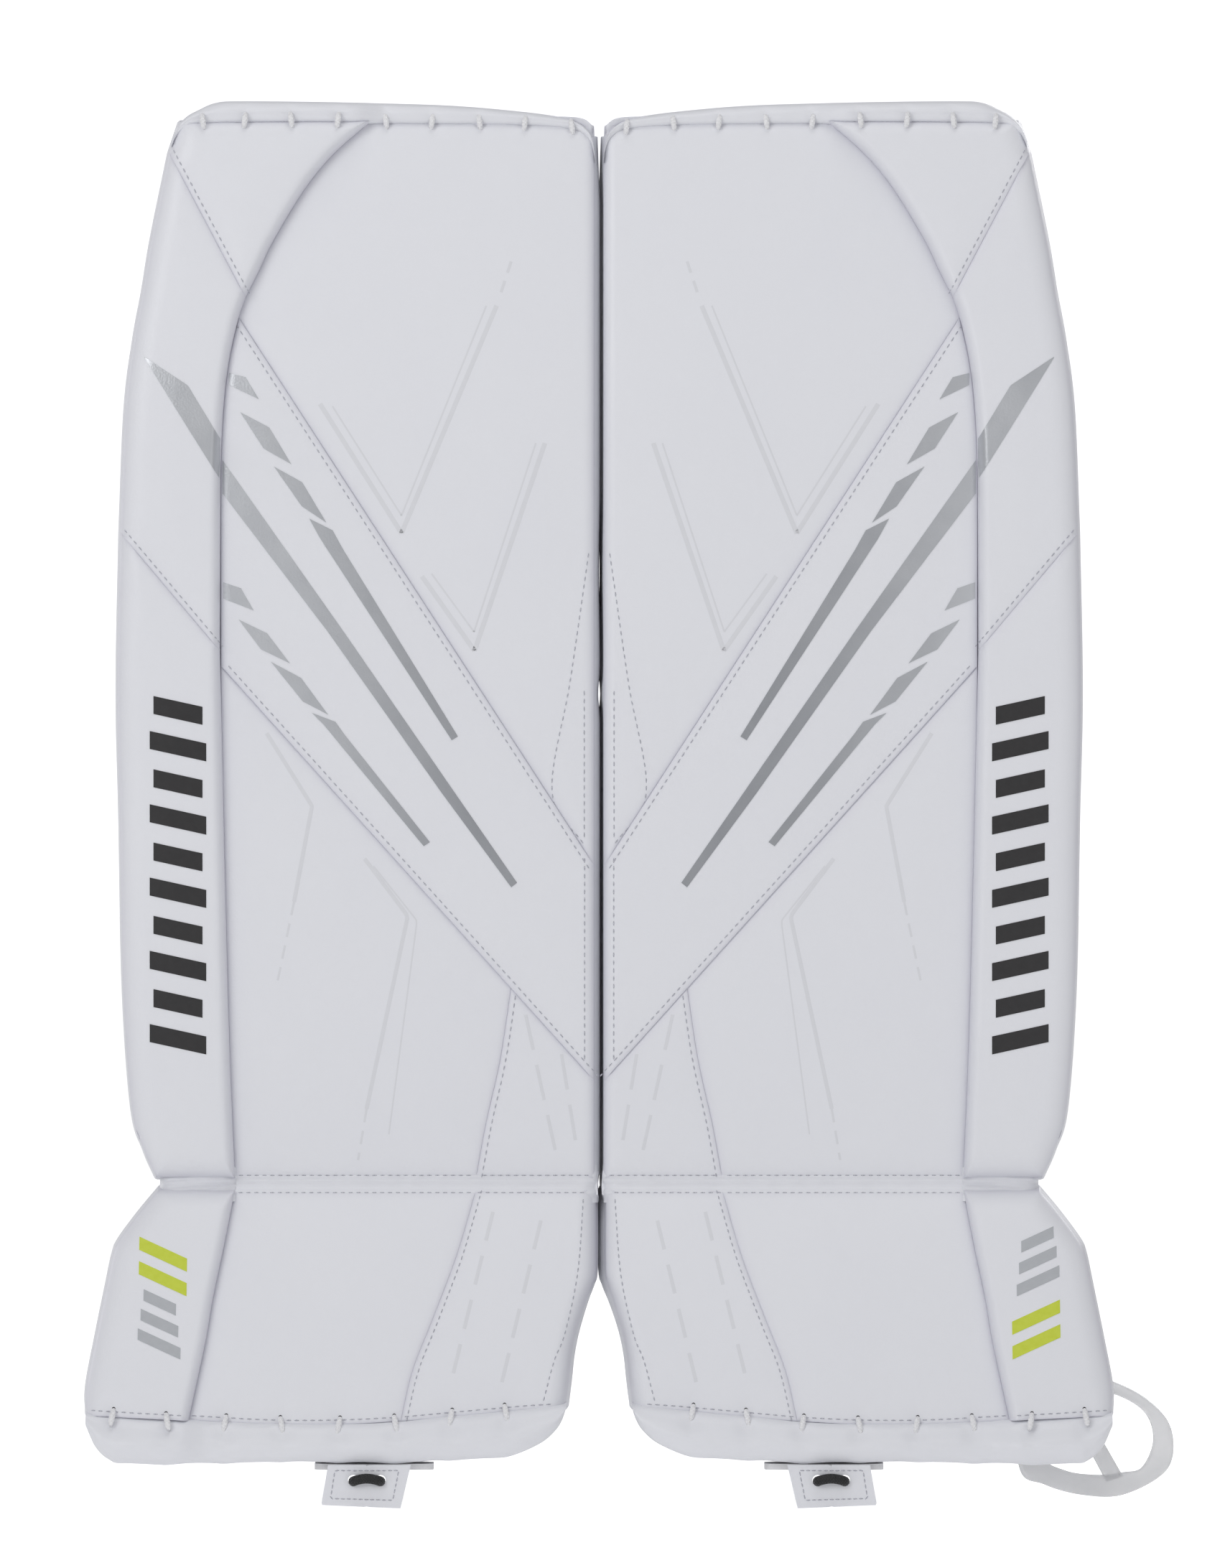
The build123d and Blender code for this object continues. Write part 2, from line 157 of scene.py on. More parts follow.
def spacing(length, first, last, step):
    """Fractions from 0 to 1, crowded within the rounded edges at both ends and a step apart between them."""
    first, last = min(first, 0.4 * length), min(last, 0.4 * length)
    count = max(2, int((length - first - last) / step) + 1)
    middle = np.linspace(first, length - last, count)[1:-1]
    return np.r_[ROUND * first, middle, length - (ROUND * last)[::-1]] / length


def distance(points, line):
    """Distance of each point from a line of straight runs."""
    a, ab = line[:-1], np.diff(line, axis=0)
    span = np.maximum((ab**2).sum(1), 1e-9)
    t = np.clip(((points[:, None] - a) * ab).sum(2) / span, 0, 1)
    return np.linalg.norm(points[:, None] - (a + t[..., None] * ab), axis=2).min(1)


def coons(sides, u, v):
    """A Coons patch: the two ruled surfaces between opposite sides, less the one through the four corners."""
    low, high = curve(sides["bottom"], u), curve(sides["top"], u)
    left, right = curve(sides["left"], v), curve(sides["right"], v)
    us, vs = u[None, :, None], v[:, None, None]
    ruled = (1 - vs) * low + vs * high + (1 - us) * left[:, None] + us * right[:, None]
    corners = (1 - us) * ((1 - vs) * low[0] + vs * high[0]) + us * ((1 - vs) * low[-1] + vs * high[-1])
    return ruled - corners


def rim_of(rows, columns):
    """Indices of a grid's rim, anticlockwise from its first corner."""
    i = np.arange(rows * columns).reshape(rows, columns)
    return np.r_[i[0], i[1:, -1], i[-1, -2::-1], i[-2:0:-1, 0]]


def grid_faces(rows, columns, start=0, wrap=False, loop=False):
    """Quads of a grid, anticlockwise; with wrap the last column joins the first, and with loop the last row."""
    i = start + np.arange(rows * columns).reshape(rows, columns)
    if loop:
        i = np.vstack([i, i[:1]])
    if wrap:
        i = np.hstack([i, i[:, :1]])
    return np.stack([i[:-1, :-1], i[:-1, 1:], i[1:, 1:], i[1:, :-1]], axis=-1).reshape(-1, 4)


def facing(shape):
    """The same shape with its faces turned to point outwards, found from the sign of its volume."""
    verts, faces = shape
    corners = np.array([(face[0], face[1], face[2], face[-1]) for face in faces])
    a, b, c, d = (verts[corners[:, i]] for i in range(4))
    volume = (a * (np.cross(b, c) + np.cross(c, d))).sum()
    return (verts, faces) if volume > 0 else (verts, [tuple(face)[::-1] for face in faces])


def closed_slab(front, back, rows=1, bulge=0.0):
    """A closed body between two grids of the same shape: both grids, and a wall between their rims that bows
    outwards by a half sine of the given height."""
    n, m = front.shape[:2]
    rim = rim_of(n, m)
    flat_front, flat_back = front.reshape(-1, 3), back.reshape(-1, 3)
    a, b = flat_front[rim], flat_back[rim]
    out = unit(np.cross(b - a, np.roll(a, -1, axis=0) - np.roll(a, 1, axis=0)))
    t = np.linspace(0, 1, rows + 1)[1:-1, None, None]
    wall = a * (1 - t) + b * t + out * bulge * np.sin(pi * t)
    verts = np.vstack([flat_front, flat_back, wall.reshape(-1, 3)])
    rings = [rim] + [2 * n * m + k * len(rim) + np.arange(len(rim)) for k in range(rows - 1)] + [n * m + rim]
    quads = [grid_faces(n, m), grid_faces(n, m, n * m)[:, ::-1]]
    for near, far in zip(rings[:-1], rings[1:]):
        quads.append(np.stack([near, far, np.roll(far, -1), np.roll(near, -1)], axis=-1))
    return verts, np.vstack(quads)


def slab(front, back):
    return facing(closed_slab(front, back))


def rings_round(path, along, radius, sides, normal):
    """A ring of points about each point of a path, square to its direction there."""
    along = unit(along)
    across = unit(np.cross(along, normal))
    up = np.cross(across, along)
    angle = np.linspace(0, 2 * pi, sides, endpoint=False)[None, :, None]
    r = np.broadcast_to(radius, len(path))[:, None, None]
    return path[:, None] + r * (np.cos(angle) * across[:, None] + np.sin(angle) * up[:, None])


def swept(sections):
    """A closed body from a row of sections, each a ring of points: quads between neighbouring rings and a fan
    over each end."""
    n, m = sections.shape[:2]
    verts = np.vstack([sections.reshape(-1, 3), sections[0].mean(0), sections[-1].mean(0)])
    faces = [tuple(q) for q in grid_faces(n, m, wrap=True)]
    turns = [(a, (a + 1) % m) for a in range(m)]
    end = (n - 1) * m
    faces += [(n * m, b, a) for a, b in turns] + [(n * m + 1, end + a, end + b) for a, b in turns]
    return facing((verts, faces))


def looped(rings):
    """A closed body from sections that come round to the first one again."""
    return facing((rings.reshape(-1, 3), grid_faces(*rings.shape[:2], wrap=True, loop=True)))


def closed_curve(knots, count):
    """Closed Catmull-Rom rings through knots, one row of points for each ring: count points on each."""
    knots = np.asarray(knots, float)
    n = knots.shape[1]
    at = np.linspace(0, n, count, endpoint=False)
    i, t = at.astype(int), (at % 1)[None, :, None]
    return catmull_rom(*(knots[:, (i + k) % n] for k in (-1, 0, 1, 2)), t)


def swept_knots(x, knots, count):
    """A body swept along x through rings of (depth, height) knots."""
    return swept(closed_curve(np.stack([np.stack([x, y, z], axis=-1) for y, z in knots], axis=1), count))


def step_up(x, start, end):
    t = np.clip((x - start) / (end - start), 0, 1)
    return t * t * (3 - 2 * t)


# ---------------------------------------------------------------- pieces
def join(parts):
    """One list of vertices and one of faces from several."""
    verts, faces, start = [], [], 0
    for v, f in parts:
        verts.append(v)
        faces += [tuple(int(i) + start for i in face) for face in f]
        start += len(v)
    return np.vstack(verts), faces


def mesh_object(name, verts, faces):
    mesh = bpy.data.meshes.new(name)
    mesh.from_pydata(np.asarray(verts).tolist(), [], [tuple(int(i) for i in face) for face in faces])
    made = bpy.data.objects.new(name, mesh)
    bpy.context.scene.collection.objects.link(made)
    return made


def add_piece(side_name, name, shape, finish, body="pad", stands_for=(), seam=None, sharp=48):
    """A mesh object from right-pad millimetres, mirrored for the left pad, in a finish: a material. It
    rides on a CAD body, or stays unattached in the frame where the body is "fold". It may stand for CAD nodes,
    and may carry seam values on its points."""
    side = SIDES[side_name]
    verts, faces = shape
    piece = mesh_object(f"{side_name}_{name}", place(verts, side), [tuple(face)[::side] for face in faces])
    mesh = piece.data
    mesh.shade_smooth()
    if sharp:
        mesh.set_sharp_from_angle(angle=radians(sharp))
    mesh.materials.append(finish[0])
    # seam values, which the leather's material turns into painted shade near seams
    if seam is not None:
        mesh.attributes.new("seam", "FLOAT", "POINT").data.foreach_set("value", np.asarray(seam, np.float32))
    if body == "fold":
        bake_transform(piece)
    else:
        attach(piece, f"{side_name}_{body}")
    if stands_for:
        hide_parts(*[f"{side_name}_{node}" for node in stands_for])


# ---------------------------------------------------------------- materials
def tone(code):
    """Linear colour from an sRGB hex value."""
    c = np.array([int(code[i : i + 2], 16) / 255 for i in (0, 2, 4)])
    c = np.where(c <= 0.04045, c / 12.92, ((c + 0.055) / 1.055) ** 2.4)
    return (*c.tolist(), 1.0)


def add_node(tree, kind, inputs=(), **settings):
    """Adds a node, sets its properties and fills its sockets: an output is linked, anything else is a value."""
    made = tree.nodes.new(kind)
    for key, value in settings.items():
        setattr(made, key, value)
    for socket, value in dict(inputs).items():
        if isinstance(value, bpy.types.NodeSocket):
            tree.links.new(value, made.inputs[socket])
        else:
            made.inputs[socket].default_value = value
    return made


def new_material(name, **shader):
    """A material with a Principled shader, whose fixed values are given by socket name."""
    made = bpy.data.materials.new(name)
    made.use_nodes = True
    tree = made.node_tree
    principled = tree.nodes["Principled BSDF"]
    for socket, value in shader.items():
        principled.inputs[socket.replace("_", " ")].default_value = value
    return made, tree, principled, add_node(tree, "ShaderNodeTexCoord").outputs["Object"]


def pattern(tree, kind, at, scale, settings=(), **sockets):
    """How strong a noise, a wave or a field of round cells is at a place."""
    settings = dict(settings, **({"feature": "SMOOTH_F1"} if kind == "Voronoi" else {}))
    made = add_node(tree, f"ShaderNodeTex{kind}", {"Vector": at, "Scale": scale, **sockets}, **settings)
    return made.outputs["Distance" if kind == "Voronoi" else "Fac"]


def arithmetic(tree, operation, *values):
    return add_node(tree, "ShaderNodeMath", dict(enumerate(values)), operation=operation).outputs[0]


def ranged(tree, value, **limits):
    sockets = {socket.replace("_", " "): limit for socket, limit in limits.items()}
    return add_node(tree, "ShaderNodeMapRange", {"Value": value, **sockets}).outputs["Result"]


def mix_tones(tree, factor, low, high, blend="MIX"):
    return add_node(
        tree, "ShaderNodeMix", {0: factor, 6: low, 7: high}, data_type="RGBA", blend_type=blend
    ).outputs[2]


def paint(tree, principled, factor, low, high):
    """Base colour between two sRGB hex tones."""
    tree.links.new(mix_tones(tree, factor, tone(low), tone(high)), principled.inputs["Base Color"])


def roughen(tree, principled, height, distance, strength=1.0, then=None):
    """Bump from a height, on top of an earlier bump."""
    inputs = {"Height": height, "Distance": distance, "Strength": strength}
    if then is not None:
        inputs["Normal"] = then
    bump = add_node(tree, "ShaderNodeBump", inputs).outputs["Normal"]
    tree.links.new(bump, principled.inputs["Normal"])
    return bump


def synthetic_leather(name, light, shade, gloss, grain_mm=1.1, grain=0.00006):
    """Polyurethane-coated synthetic leather, embossed by a roller: a fine pebble grain and a soft satin shine
    that wanders a little, and painted shade that makes it greyer and duller where the skin turns into a seam."""
    made, tree, principled, at = new_material(name, Roughness=gloss, IOR=1.5)
    wander = pattern(tree, "Noise", at, 14.0, Detail=3.0)
    pebble = pattern(tree, "Voronoi", at, 1 / (grain_mm * MM))
    crease = pattern(tree, "Noise", at, 90.0, Detail=4.0, Roughness=0.6)
    # nearness to a seam, which the tone mix below turns into painted shade along the seams' creases
    seam = add_node(tree, "ShaderNodeAttribute", attribute_name="seam").outputs["Fac"]
    base = mix_tones(tree, wander, tone(light), tone(shade[0]))
    tree.links.new(mix_tones(tree, seam, base, tone(shade[1])), principled.inputs["Base Color"])
    rough = ranged(tree, wander, To_Min=gloss - 0.05, To_Max=gloss + 0.07)
    tree.links.new(rough, principled.inputs["Roughness"])
    first = roughen(tree, principled, pebble, grain)
    roughen(tree, principled, crease, 0.00012, 0.5, first)
    return made


def foil():
    """Aluminium-coloured film bonded to the skin: a soft mirror with the leather's grain showing through, clouded,
    and with a painted reflection gradient: darker towards the pads' inner sides, brighter outwards."""
    made, tree, principled, at = new_material("metallised_film_silver", Metallic=0.75, Roughness=0.42)
    grain = pattern(tree, "Voronoi", at, 900.0)
    mottled = pattern(tree, "Noise", at, 40.0, Detail=5.0)
    sideways = add_node(tree, "ShaderNodeSeparateXYZ", {"Vector": at}).outputs["X"]
    # painted reflection gradient: darker near the plane between the pads, brighter towards their outer sides
    outwards = ranged(tree, arithmetic(tree, "ABSOLUTE", sideways), From_Min=0.09, From_Max=0.2)
    film = mix_tones(tree, outwards, tone("ACAEB2"), tone("CFD1D4"))
    cloudy = mix_tones(tree, mottled, tone("FFFFFF"), tone("E3E4E6"))
    tree.links.new(mix_tones(tree, 1.0, film, cloudy, "MULTIPLY"), principled.inputs["Base Color"])
    roughen(tree, principled, grain, 0.00008)
    return made


def ink(name, dark, light, gloss):
    """Screen-printed ink on the skin: an even satin film that keeps a trace of the grain below. The black also lays
    the painted shadow of the toe lace holes, and the pale grey the painted shade of embossed lines.
    """
    made, tree, principled, at = new_material(name, Roughness=gloss)
    grain = pattern(tree, "Voronoi", at, 800.0)
    paint(tree, principled, pattern(tree, "Noise", at, 260.0, Detail=3.0), dark, light)
    roughen(tree, principled, grain, 0.00005)
    return made


BANDS = 0.32 / MM  # scale of a wave texture whose bands are a millimetre apart


def braid(name, light, dark, pitch_mm, gloss=0.6):
    """Braided cord: two sets of diagonal strands that cross, a pitch apart, with darker gaps between them."""
    made, tree, principled, at = new_material(name, Roughness=gloss)
    waves = []
    for turn in (0.7, -0.7):
        turned = add_node(tree, "ShaderNodeMapping", {"Vector": at, "Rotation": (0, turn, 0)}).outputs[0]
        waves.append(pattern(tree, "Wave", turned, BANDS / pitch_mm, Distortion=0.4))
    strand = arithmetic(tree, "MULTIPLY", *waves)
    paint(tree, principled, strand, dark, light)
    roughen(tree, principled, strand, 0.0003)
    return made


def webbing(name, light, dark):
    """Woven polyester strap: ribs across it 1.6 mm apart, crossed by fine warp threads, slightly fuzzy."""
    made, tree, principled, at = new_material(name, Roughness=0.7, Sheen_Weight=0.2)
    rib = pattern(tree, "Wave", at, BANDS / 1.6, {"bands_direction": "Z"})
    warp = pattern(tree, "Wave", at, BANDS / 1.1, {"bands_direction": "X"})
    weave = arithmetic(tree, "MULTIPLY", rib, warp)
    paint(tree, principled, weave, dark, light)
    roughen(tree, principled, weave, 0.0003)
    return made


def brushed_knit(name, dark, light):
    """Brushed polyester lining: a short raised nap, matt and slightly mottled, with a faint sheen at the edge."""
    made, tree, principled, at = new_material(name, Roughness=0.92, Sheen_Weight=0.5, Sheen_Roughness=0.5)
    nap = pattern(tree, "Noise", at, 700.0, Detail=4.0)
    paint(tree, principled, pattern(tree, "Noise", at, 60.0, Detail=5.0), dark, light)
    roughen(tree, principled, nap, 0.0006)
    return made


def grained(name, low, high, scale, depth, sockets, **shader):
    """A plain finish whose tone and relief follow one noise."""
    made, tree, principled, at = new_material(name, **shader)
    grain = pattern(tree, "Noise", at, scale, **sockets)
    paint(tree, principled, grain, low, high)
    roughen(tree, principled, grain, depth)
    return made


def clear_moulding():
    """Injection-moulded thermoplastic polyurethane: milky clear, with a soft gloss and faint flow lines."""
    look = {"Roughness": 0.18, "IOR": 1.5, "Transmission_Weight": 0.15, "Alpha": 0.66}
    flow = {"Distortion": 2.0}
    return grained("clear_polyurethane_moulding", "F4F4F5", "DDDEE0", 30.0, 0.0006, flow, **look)


def hard_plastic():
    """Moulded nylon plate: even, matt, with a fine spark-eroded texture."""
    return grained("moulded_nylon_plate", "DCDCDD", "E6E6E7", 1500.0, 0.0001, {"Detail": 3.0}, Roughness=0.55)


def plated_steel():
    """Zinc-plated steel screw: bright, with fine marks."""
    look = {"Metallic": 1.0, "Roughness": 0.3}
    return grained("zinc_plated_steel", "A9ABAE", "C5C7C9", 500.0, 0.00005, {"Detail": 2.0}, **look)


# Each finish is a material and the slot it fills.
# Each leather: its skin tone, a tone it wanders to at random, and a greyer tone of painted shade near seams.
WHITE = (
    synthetic_leather("synthetic_leather_white_embossed", "E9EAEE", ("E6E7EC", "DADAE2"), 0.42), "white_skin"
)
SLIDE = (
    synthetic_leather("synthetic_leather_smooth_slide_panel", "E6E7EB", ("E2E3E9", "D4D5DE"), 0.3, 2.2, 0.00003),
    "slide_skin",
)
FOIL = foil(), "silver_foil"
# The black serves the printed bars and the painted shadow of the toe lace holes.
BLACK_INK_AND_HOLE_SHADOW = ink("screen_print_black_and_painted_hole_shadow", "232223", "2E2D2E", 0.4), "black_print"
LIME_INK = ink("screen_print_lime", "C3D02C", "CFDB4A", 0.45), "lime_print"
GREY_INK = ink("screen_print_grey", "AEB1B5", "B8BBBF", 0.42), "grey_print"
# The pale grey is painted shade of lines embossed in the skin.
PAINTED_EMBOSS_SHADE = ink("pale_grey_painted_emboss_shade", "DCDDE1", "E0E1E5", 0.42), "grey_print"
# The thread's grey is partly painted shade: a light thread made greyer for the shadow in its stitch holes.
THREAD = braid("bonded_polyester_thread", "D9DAE0", "B2B3BC", 1.2), "lace"
LACE = braid("waxed_braided_lace", "FCFCFC", "EDEDEF", 1.4), "lace"
CORD = braid("elastic_cord_black_sheath", "262627", "0D0D0E", 1.2, 0.5), "elastic_cord"
WEBBING = webbing("woven_polyester_webbing_white", "F2F3F5", "D2D4D9"), "webbing"
LINING = brushed_knit("brushed_knit_lining_black", "1A1A1C", "252528"), "liner_black"
HOOK = brushed_knit("moulded_hook_tape_black", "141416", "1E1E21"), "hook_tape"
CLEAR = clear_moulding(), "clear_tpu"
NYLON = hard_plastic()
STEEL = plated_steel()

# ---------------------------------------------------------------- sewn panels of the front
INNER_X = 2.6
SHIN_END, BOOT_START = 189.6, 182.4  # the sewn edges on either side of the break
UPPER_SEAM = ((INNER_X, 371.7), (211.0, 693.0))  # between the upper panel and the band
LOWER_SEAM = ((INNER_X, 246.2), (221.3, 489.0))  # between the band and the lower panels
SHIN_INSERT = ((72, SHIN_END), (66, 222), (57.8, 259), (51.5, 300.6))
BOOT_INSERT = ((115, 50.4), (108, 80), (97, 108), (83, 145), (72, BOOT_START))
ROLL_LOW = ((213, SHIN_END), (216, 260), (218.5, 350), (220.5, 440), (221.3, 489))
ROLL_MID = ((221.3, 489), (221.3, 600), (219.7, 640), (216.5, 668), (211, 693))
ROLL_HIGH = ((211, 693), (207, 705), (199, 721), (191, 738), (173, 768), (156, 789), (134, 808.5))
OUTER = ((259, 190), (266, 206), (273, 230), (278, 300), (280, 400), (281.6, 475), (280, 567))
OUTER_MID = ((280, 567), (277, 640), (272, 681), (267, 709), (262, 740), (252, 790))
BOOT_ROLL_EDGE = ((238, 51), (229, 95), (225, 120), (219, 150), (213, BOOT_START))
BOOT_OUTER = (
    (297, 54), (297.3, 70), (292.5, 98), (287, 127), (283.2, 146), (280, 153.5), (269, 168.5), (257, 183),
)
BOOT_INNER = (
    (20, 58), (18.2, 72), (16.4, 88), (13.4, 102), (8.3, 118), (4.6, 128), (2.7, 138), (INNER_X, BOOT_START),
)
ROLL_SEAM_HIGH = ((207, 705), (252, 790))
ROLL_SEAM_LOW = ((221.8, 498), (280, 567))

LACE_X = np.array([16, 43.6, 70.2, 98, 125, 153, 180.3, 207.5, 232])
TOE_LACE_X = np.array([54, 86, 118, 151, 184, 217, 250, 282])


def table_curve(points, x):
    """Heights read off a smooth line of (x, z) points at the given x."""
    p = curve(points, np.linspace(0, 1, 200))
    return np.interp(x, p[:, 0], p[:, 1])


def pucker(x, holes, width=6.0):
    """One at each lace hole, falling away as a bell curve."""
    return bell(x[:, None], holes, width).sum(1)


TOP_SEAM = (
    (2.6, 786), (3.4, 793), (6, 799.5), (11, 804), (20, 806.5), (45, 808.3), (90, 809), (180, 809.5), (232, 808.6),
    (242, 806), (247.5, 801.5), (250.5, 795),
)
TOE_SEAM = ((19, 59.5), (30, 59), (50, 56.6), (90, 53), (130, 49.3), (190, 49.3), (247, 51.6), (297.5, 55.5))

# Each panel: the body it is on, how proud it stands, its crown, the depth of its back, each side with the width and
# depth of its rounded edge, and the CAD nodes it stands for. A thick panel's walls bow out by a bulge.
PAD_PANEL = dict(body="pad", rise=0.0, crown=1.6, back=7.0, bulge=0.0, rows=2, stands_for=())
BOOT_PANEL = dict(body="fold", rise=0.0, crown=1.8, back=BOOT_BACK, bulge=2.0, rows=8, stands_for=())
PAD_ROLL = dict(PAD_PANEL, rise=ROLL_RISE, crown=1.5, back=PAD_BACK, bulge=2.0, rows=8)
PANELS = {
    "upper_panel": dict(
        PAD_PANEL, stands_for=("upper_face_panel", "shin_core"),
        bottom=(UPPER_SEAM, 4.0, 0.8), top=(((4.5, 801), (16, 807), (60, 808.5), (134, 808.5)), 9.0, 5.0),
        left=(((INNER_X, 371.7), (INNER_X, 600), (INNER_X, 789), (4.5, 801)), 7.0, 6.0),
        right=(ROLL_HIGH, 5.0, 0.8),
    ),
    "band": dict(
        PAD_PANEL, rise=1.3, crown=1.2, stands_for=("band_panel",),
        bottom=(LOWER_SEAM, 1.6, 0.9), top=(UPPER_SEAM, 1.6, 0.9),
        left=(((INNER_X, 246.2), (INNER_X, 371.7)), 7.0, 7.0), right=(ROLL_MID, 5.0, 1.8),
    ),
    "lower_panel": dict(
        PAD_PANEL, stands_for=("lower_face_panel",),
        bottom=(((72, SHIN_END), (213, SHIN_END)), 7.0, 2.6), top=(((51.5, 300.6), (221.3, 489)), 4.0, 0.8),
        left=(SHIN_INSERT, 3.0, 0.9), right=(ROLL_LOW, 5.0, 0.8),
    ),
    "lower_insert": dict(
        PAD_PANEL, rise=0.2, crown=1.2,
        bottom=(((INNER_X, SHIN_END), (72, SHIN_END)), 7.0, 2.6), top=((LOWER_SEAM[0], (51.5, 300.6)), 4.0, 0.8),
        left=(((INNER_X, SHIN_END), (INNER_X, 246.2)), 7.0, 6.0), right=(SHIN_INSERT, 3.0, 0.9),
    ),
    "roll_top": dict(
        PAD_ROLL, bottom=(ROLL_SEAM_HIGH, 3.0, 1.0), top=(((134, 808.5), (246, 808)), 10.0, 7.0),
        left=(((207, 705), *ROLL_HIGH[2:]), 6.0, 12.4), right=(((252, 790), (246, 808)), 14.0, 9.0),
    ),
    "roll_middle": dict(
        PAD_ROLL, bottom=(ROLL_SEAM_LOW, 3.0, 1.0), top=(ROLL_SEAM_HIGH, 3.0, 1.0),
        left=(((221.8, 498), *ROLL_MID[1:], (207, 705)), 6.0, 12.4), right=(OUTER_MID, 14.0, 9.0),
    ),
    "roll_bottom": dict(
        PAD_ROLL, stands_for=("outer_roll",),
        bottom=(((213, SHIN_END), (259, 190)), 14.0, 11.5), top=(ROLL_SEAM_LOW, 3.0, 1.0),
        left=((*ROLL_LOW[:-1], (221.8, 498)), 6.0, 12.4), right=(OUTER, 14.0, 9.0),
    ),
    "boot_panel": dict(
        BOOT_PANEL, stands_for=("boot_face_panel", "boot_core"),
        bottom=(((115, 50.4), (150, 48.6), (190, 48.6), (238, 51)), 4.0, 1.4),
        top=(((72, BOOT_START), (213, BOOT_START)), 7.0, 2.6),
        left=(BOOT_INSERT, 3.0, 0.9), right=(BOOT_ROLL_EDGE, 5.0, 0.8),
    ),
    "boot_insert": dict(
        BOOT_PANEL, bulge=2.4, rise=0.2, crown=1.4,
        bottom=(((20, 58), (50, 56.2), (90, 52.4), (115, 50.4)), 4.0, 1.4),
        top=(((INNER_X, BOOT_START), (72, BOOT_START)), 7.0, 2.6),
        left=(BOOT_INNER, 10.0, 15.0), right=(BOOT_INSERT, 3.0, 0.9),
    ),
    "boot_roll": dict(
        BOOT_PANEL, rise=ROLL_RISE, crown=1.5, stands_for=("boot_roll",),
        bottom=(((238, 51), (297, 54)), 5.0, 1.8), top=(((213, BOOT_START), (257, 183)), 13.0, 12.0),
        left=(BOOT_ROLL_EDGE, 6.0, 12.4), right=(BOOT_OUTER, 13.0, 9.5),
    ),
}
EDGES = ("bottom", "top", "left", "right")


def proud(panel, points):
    """How far the skin stands in front of the front plane, and how near a seam it is, at points of a panel: its
    rise and a crown that grows away from the seams, less the deepest of its edges' quarter rounds, with a shallow
    wander of three slow waves. It is drawn in at each lace and rippled along the break."""
    panel = PANELS[panel]
    flat = points.reshape(-1, 2)
    drop = np.zeros(len(flat))
    near = np.full(len(flat), 1e9)
    for name in EDGES:
        line, width, depth = panel[name]
        away = distance(flat, curve(line, np.linspace(0, 1, 50)))
        drop = np.maximum(drop, depth * (1 - quarter(away / width)))
        near = np.minimum(near, away)
    x, z = flat.T
    wander = np.sin(x / 31 + z / 47) + np.sin(x / 19 - z / 73 + 1.3) + np.sin(z / 29 + 0.6)
    if panel["body"] == "fold":
        drop += 0.9 * pucker(x, TOE_LACE_X, 5.0) * bell(z, table_curve(TOE_SEAM, x) + 2, 7)
        drop += 0.18 * (1 + np.sin(x / 2.9 + 2 * np.sin(x / 23))) * bell(z, BOOT_START, 5)
    else:
        drop += 0.7 * pucker(x, LACE_X, 4.5) * bell(z, 806, 6) * (z > 780)
        drop += 0.18 * (1 + np.sin(x / 3.3 + 2 * np.sin(x / 19))) * bell(z, SHIN_END, 5)
    grown = 1 - np.exp(-near / 22)
    height = panel["rise"] + (panel["crown"] + 0.12 * wander) * grown - drop
    return height.reshape(points.shape[:-1]), np.exp(-near / 1.6).reshape(points.shape[:-1])


def on_front(points, height):
    """3D points from (x, z) points and how far each stands in front of the front plane."""
    return np.stack([points[..., 0], front_plane(points[..., 1]) - height, points[..., 1]], axis=-1)


def add_panel(side_name, name, step=2.6):
    panel = PANELS[name]
    sides = {key: panel[key][0] for key in EDGES}
    rounds = {key: panel[key][1] for key in EDGES}
    across = max(run_length(sides["bottom"]), run_length(sides["top"]))
    up = max(run_length(sides["left"]), run_length(sides["right"]))
    u = spacing(across, rounds["left"], rounds["right"], step)
    v = spacing(up, rounds["bottom"], rounds["top"], step)
    flat = coons(sides, u, v)
    height, seam = proud(name, flat)
    shape = closed_slab(on_front(flat, height), on_front(flat, -panel["back"]), panel["rows"], panel["bulge"])
    # nearness to a seam on the front, kept for the leather's painted seam shade
    seams = np.r_[seam.ravel(), np.zeros(len(shape[0]) - seam.size)]
    add_piece(side_name, f"{name}_skin", shape, WHITE, panel["body"], panel["stands_for"], seams)


for side_name in SIDES:
    for panel_name in PANELS:
        add_panel(side_name, panel_name)


# ---------------------------------------------------------------- prints, inlays, painted emboss shade and stitches
def decal(panel, lower, upper, lift=0.3, step=1.6):
    """A thin inlay between two kinked edge lines, laid on a panel: the ruled grid between them, lifted a little off
    the skin, over a back that is sunk into it."""
    length = max(run_length(lower, True), run_length(upper, True))
    u = np.linspace(0, 1, max(3, int(length / step)))
    low, high = curve(lower, u, True), curve(upper, u, True)
    width = max(np.linalg.norm(high - low, axis=1).max(), 0.5)
    v = np.linspace(0, 1, max(2, int(width / step) + 2))[:, None, None]
    flat = low * (1 - v) + high * v
    height, _ = proud(panel, flat)
    return slab(on_front(flat, height + lift), on_front(flat, height - 0.4))


def ribbon(panel, points, width, lift=0.12):
    """A decal of even width along a kinked line."""
    p = curve(points, np.linspace(0, 1, max(3, int(run_length(points, True) / 3))), True)
    across = left_of(p) * width / 2
    return decal(panel, p - across, p + across, lift)


def dashes(points, dash, gap):
    """Short runs cut from a kinked line."""
    length = run_length(points, True)
    starts = np.arange(0, length - dash * 0.5, dash + gap)
    return [curve(points, np.linspace(s, min(s + dash, length), 4) / length, True) for s in starts]


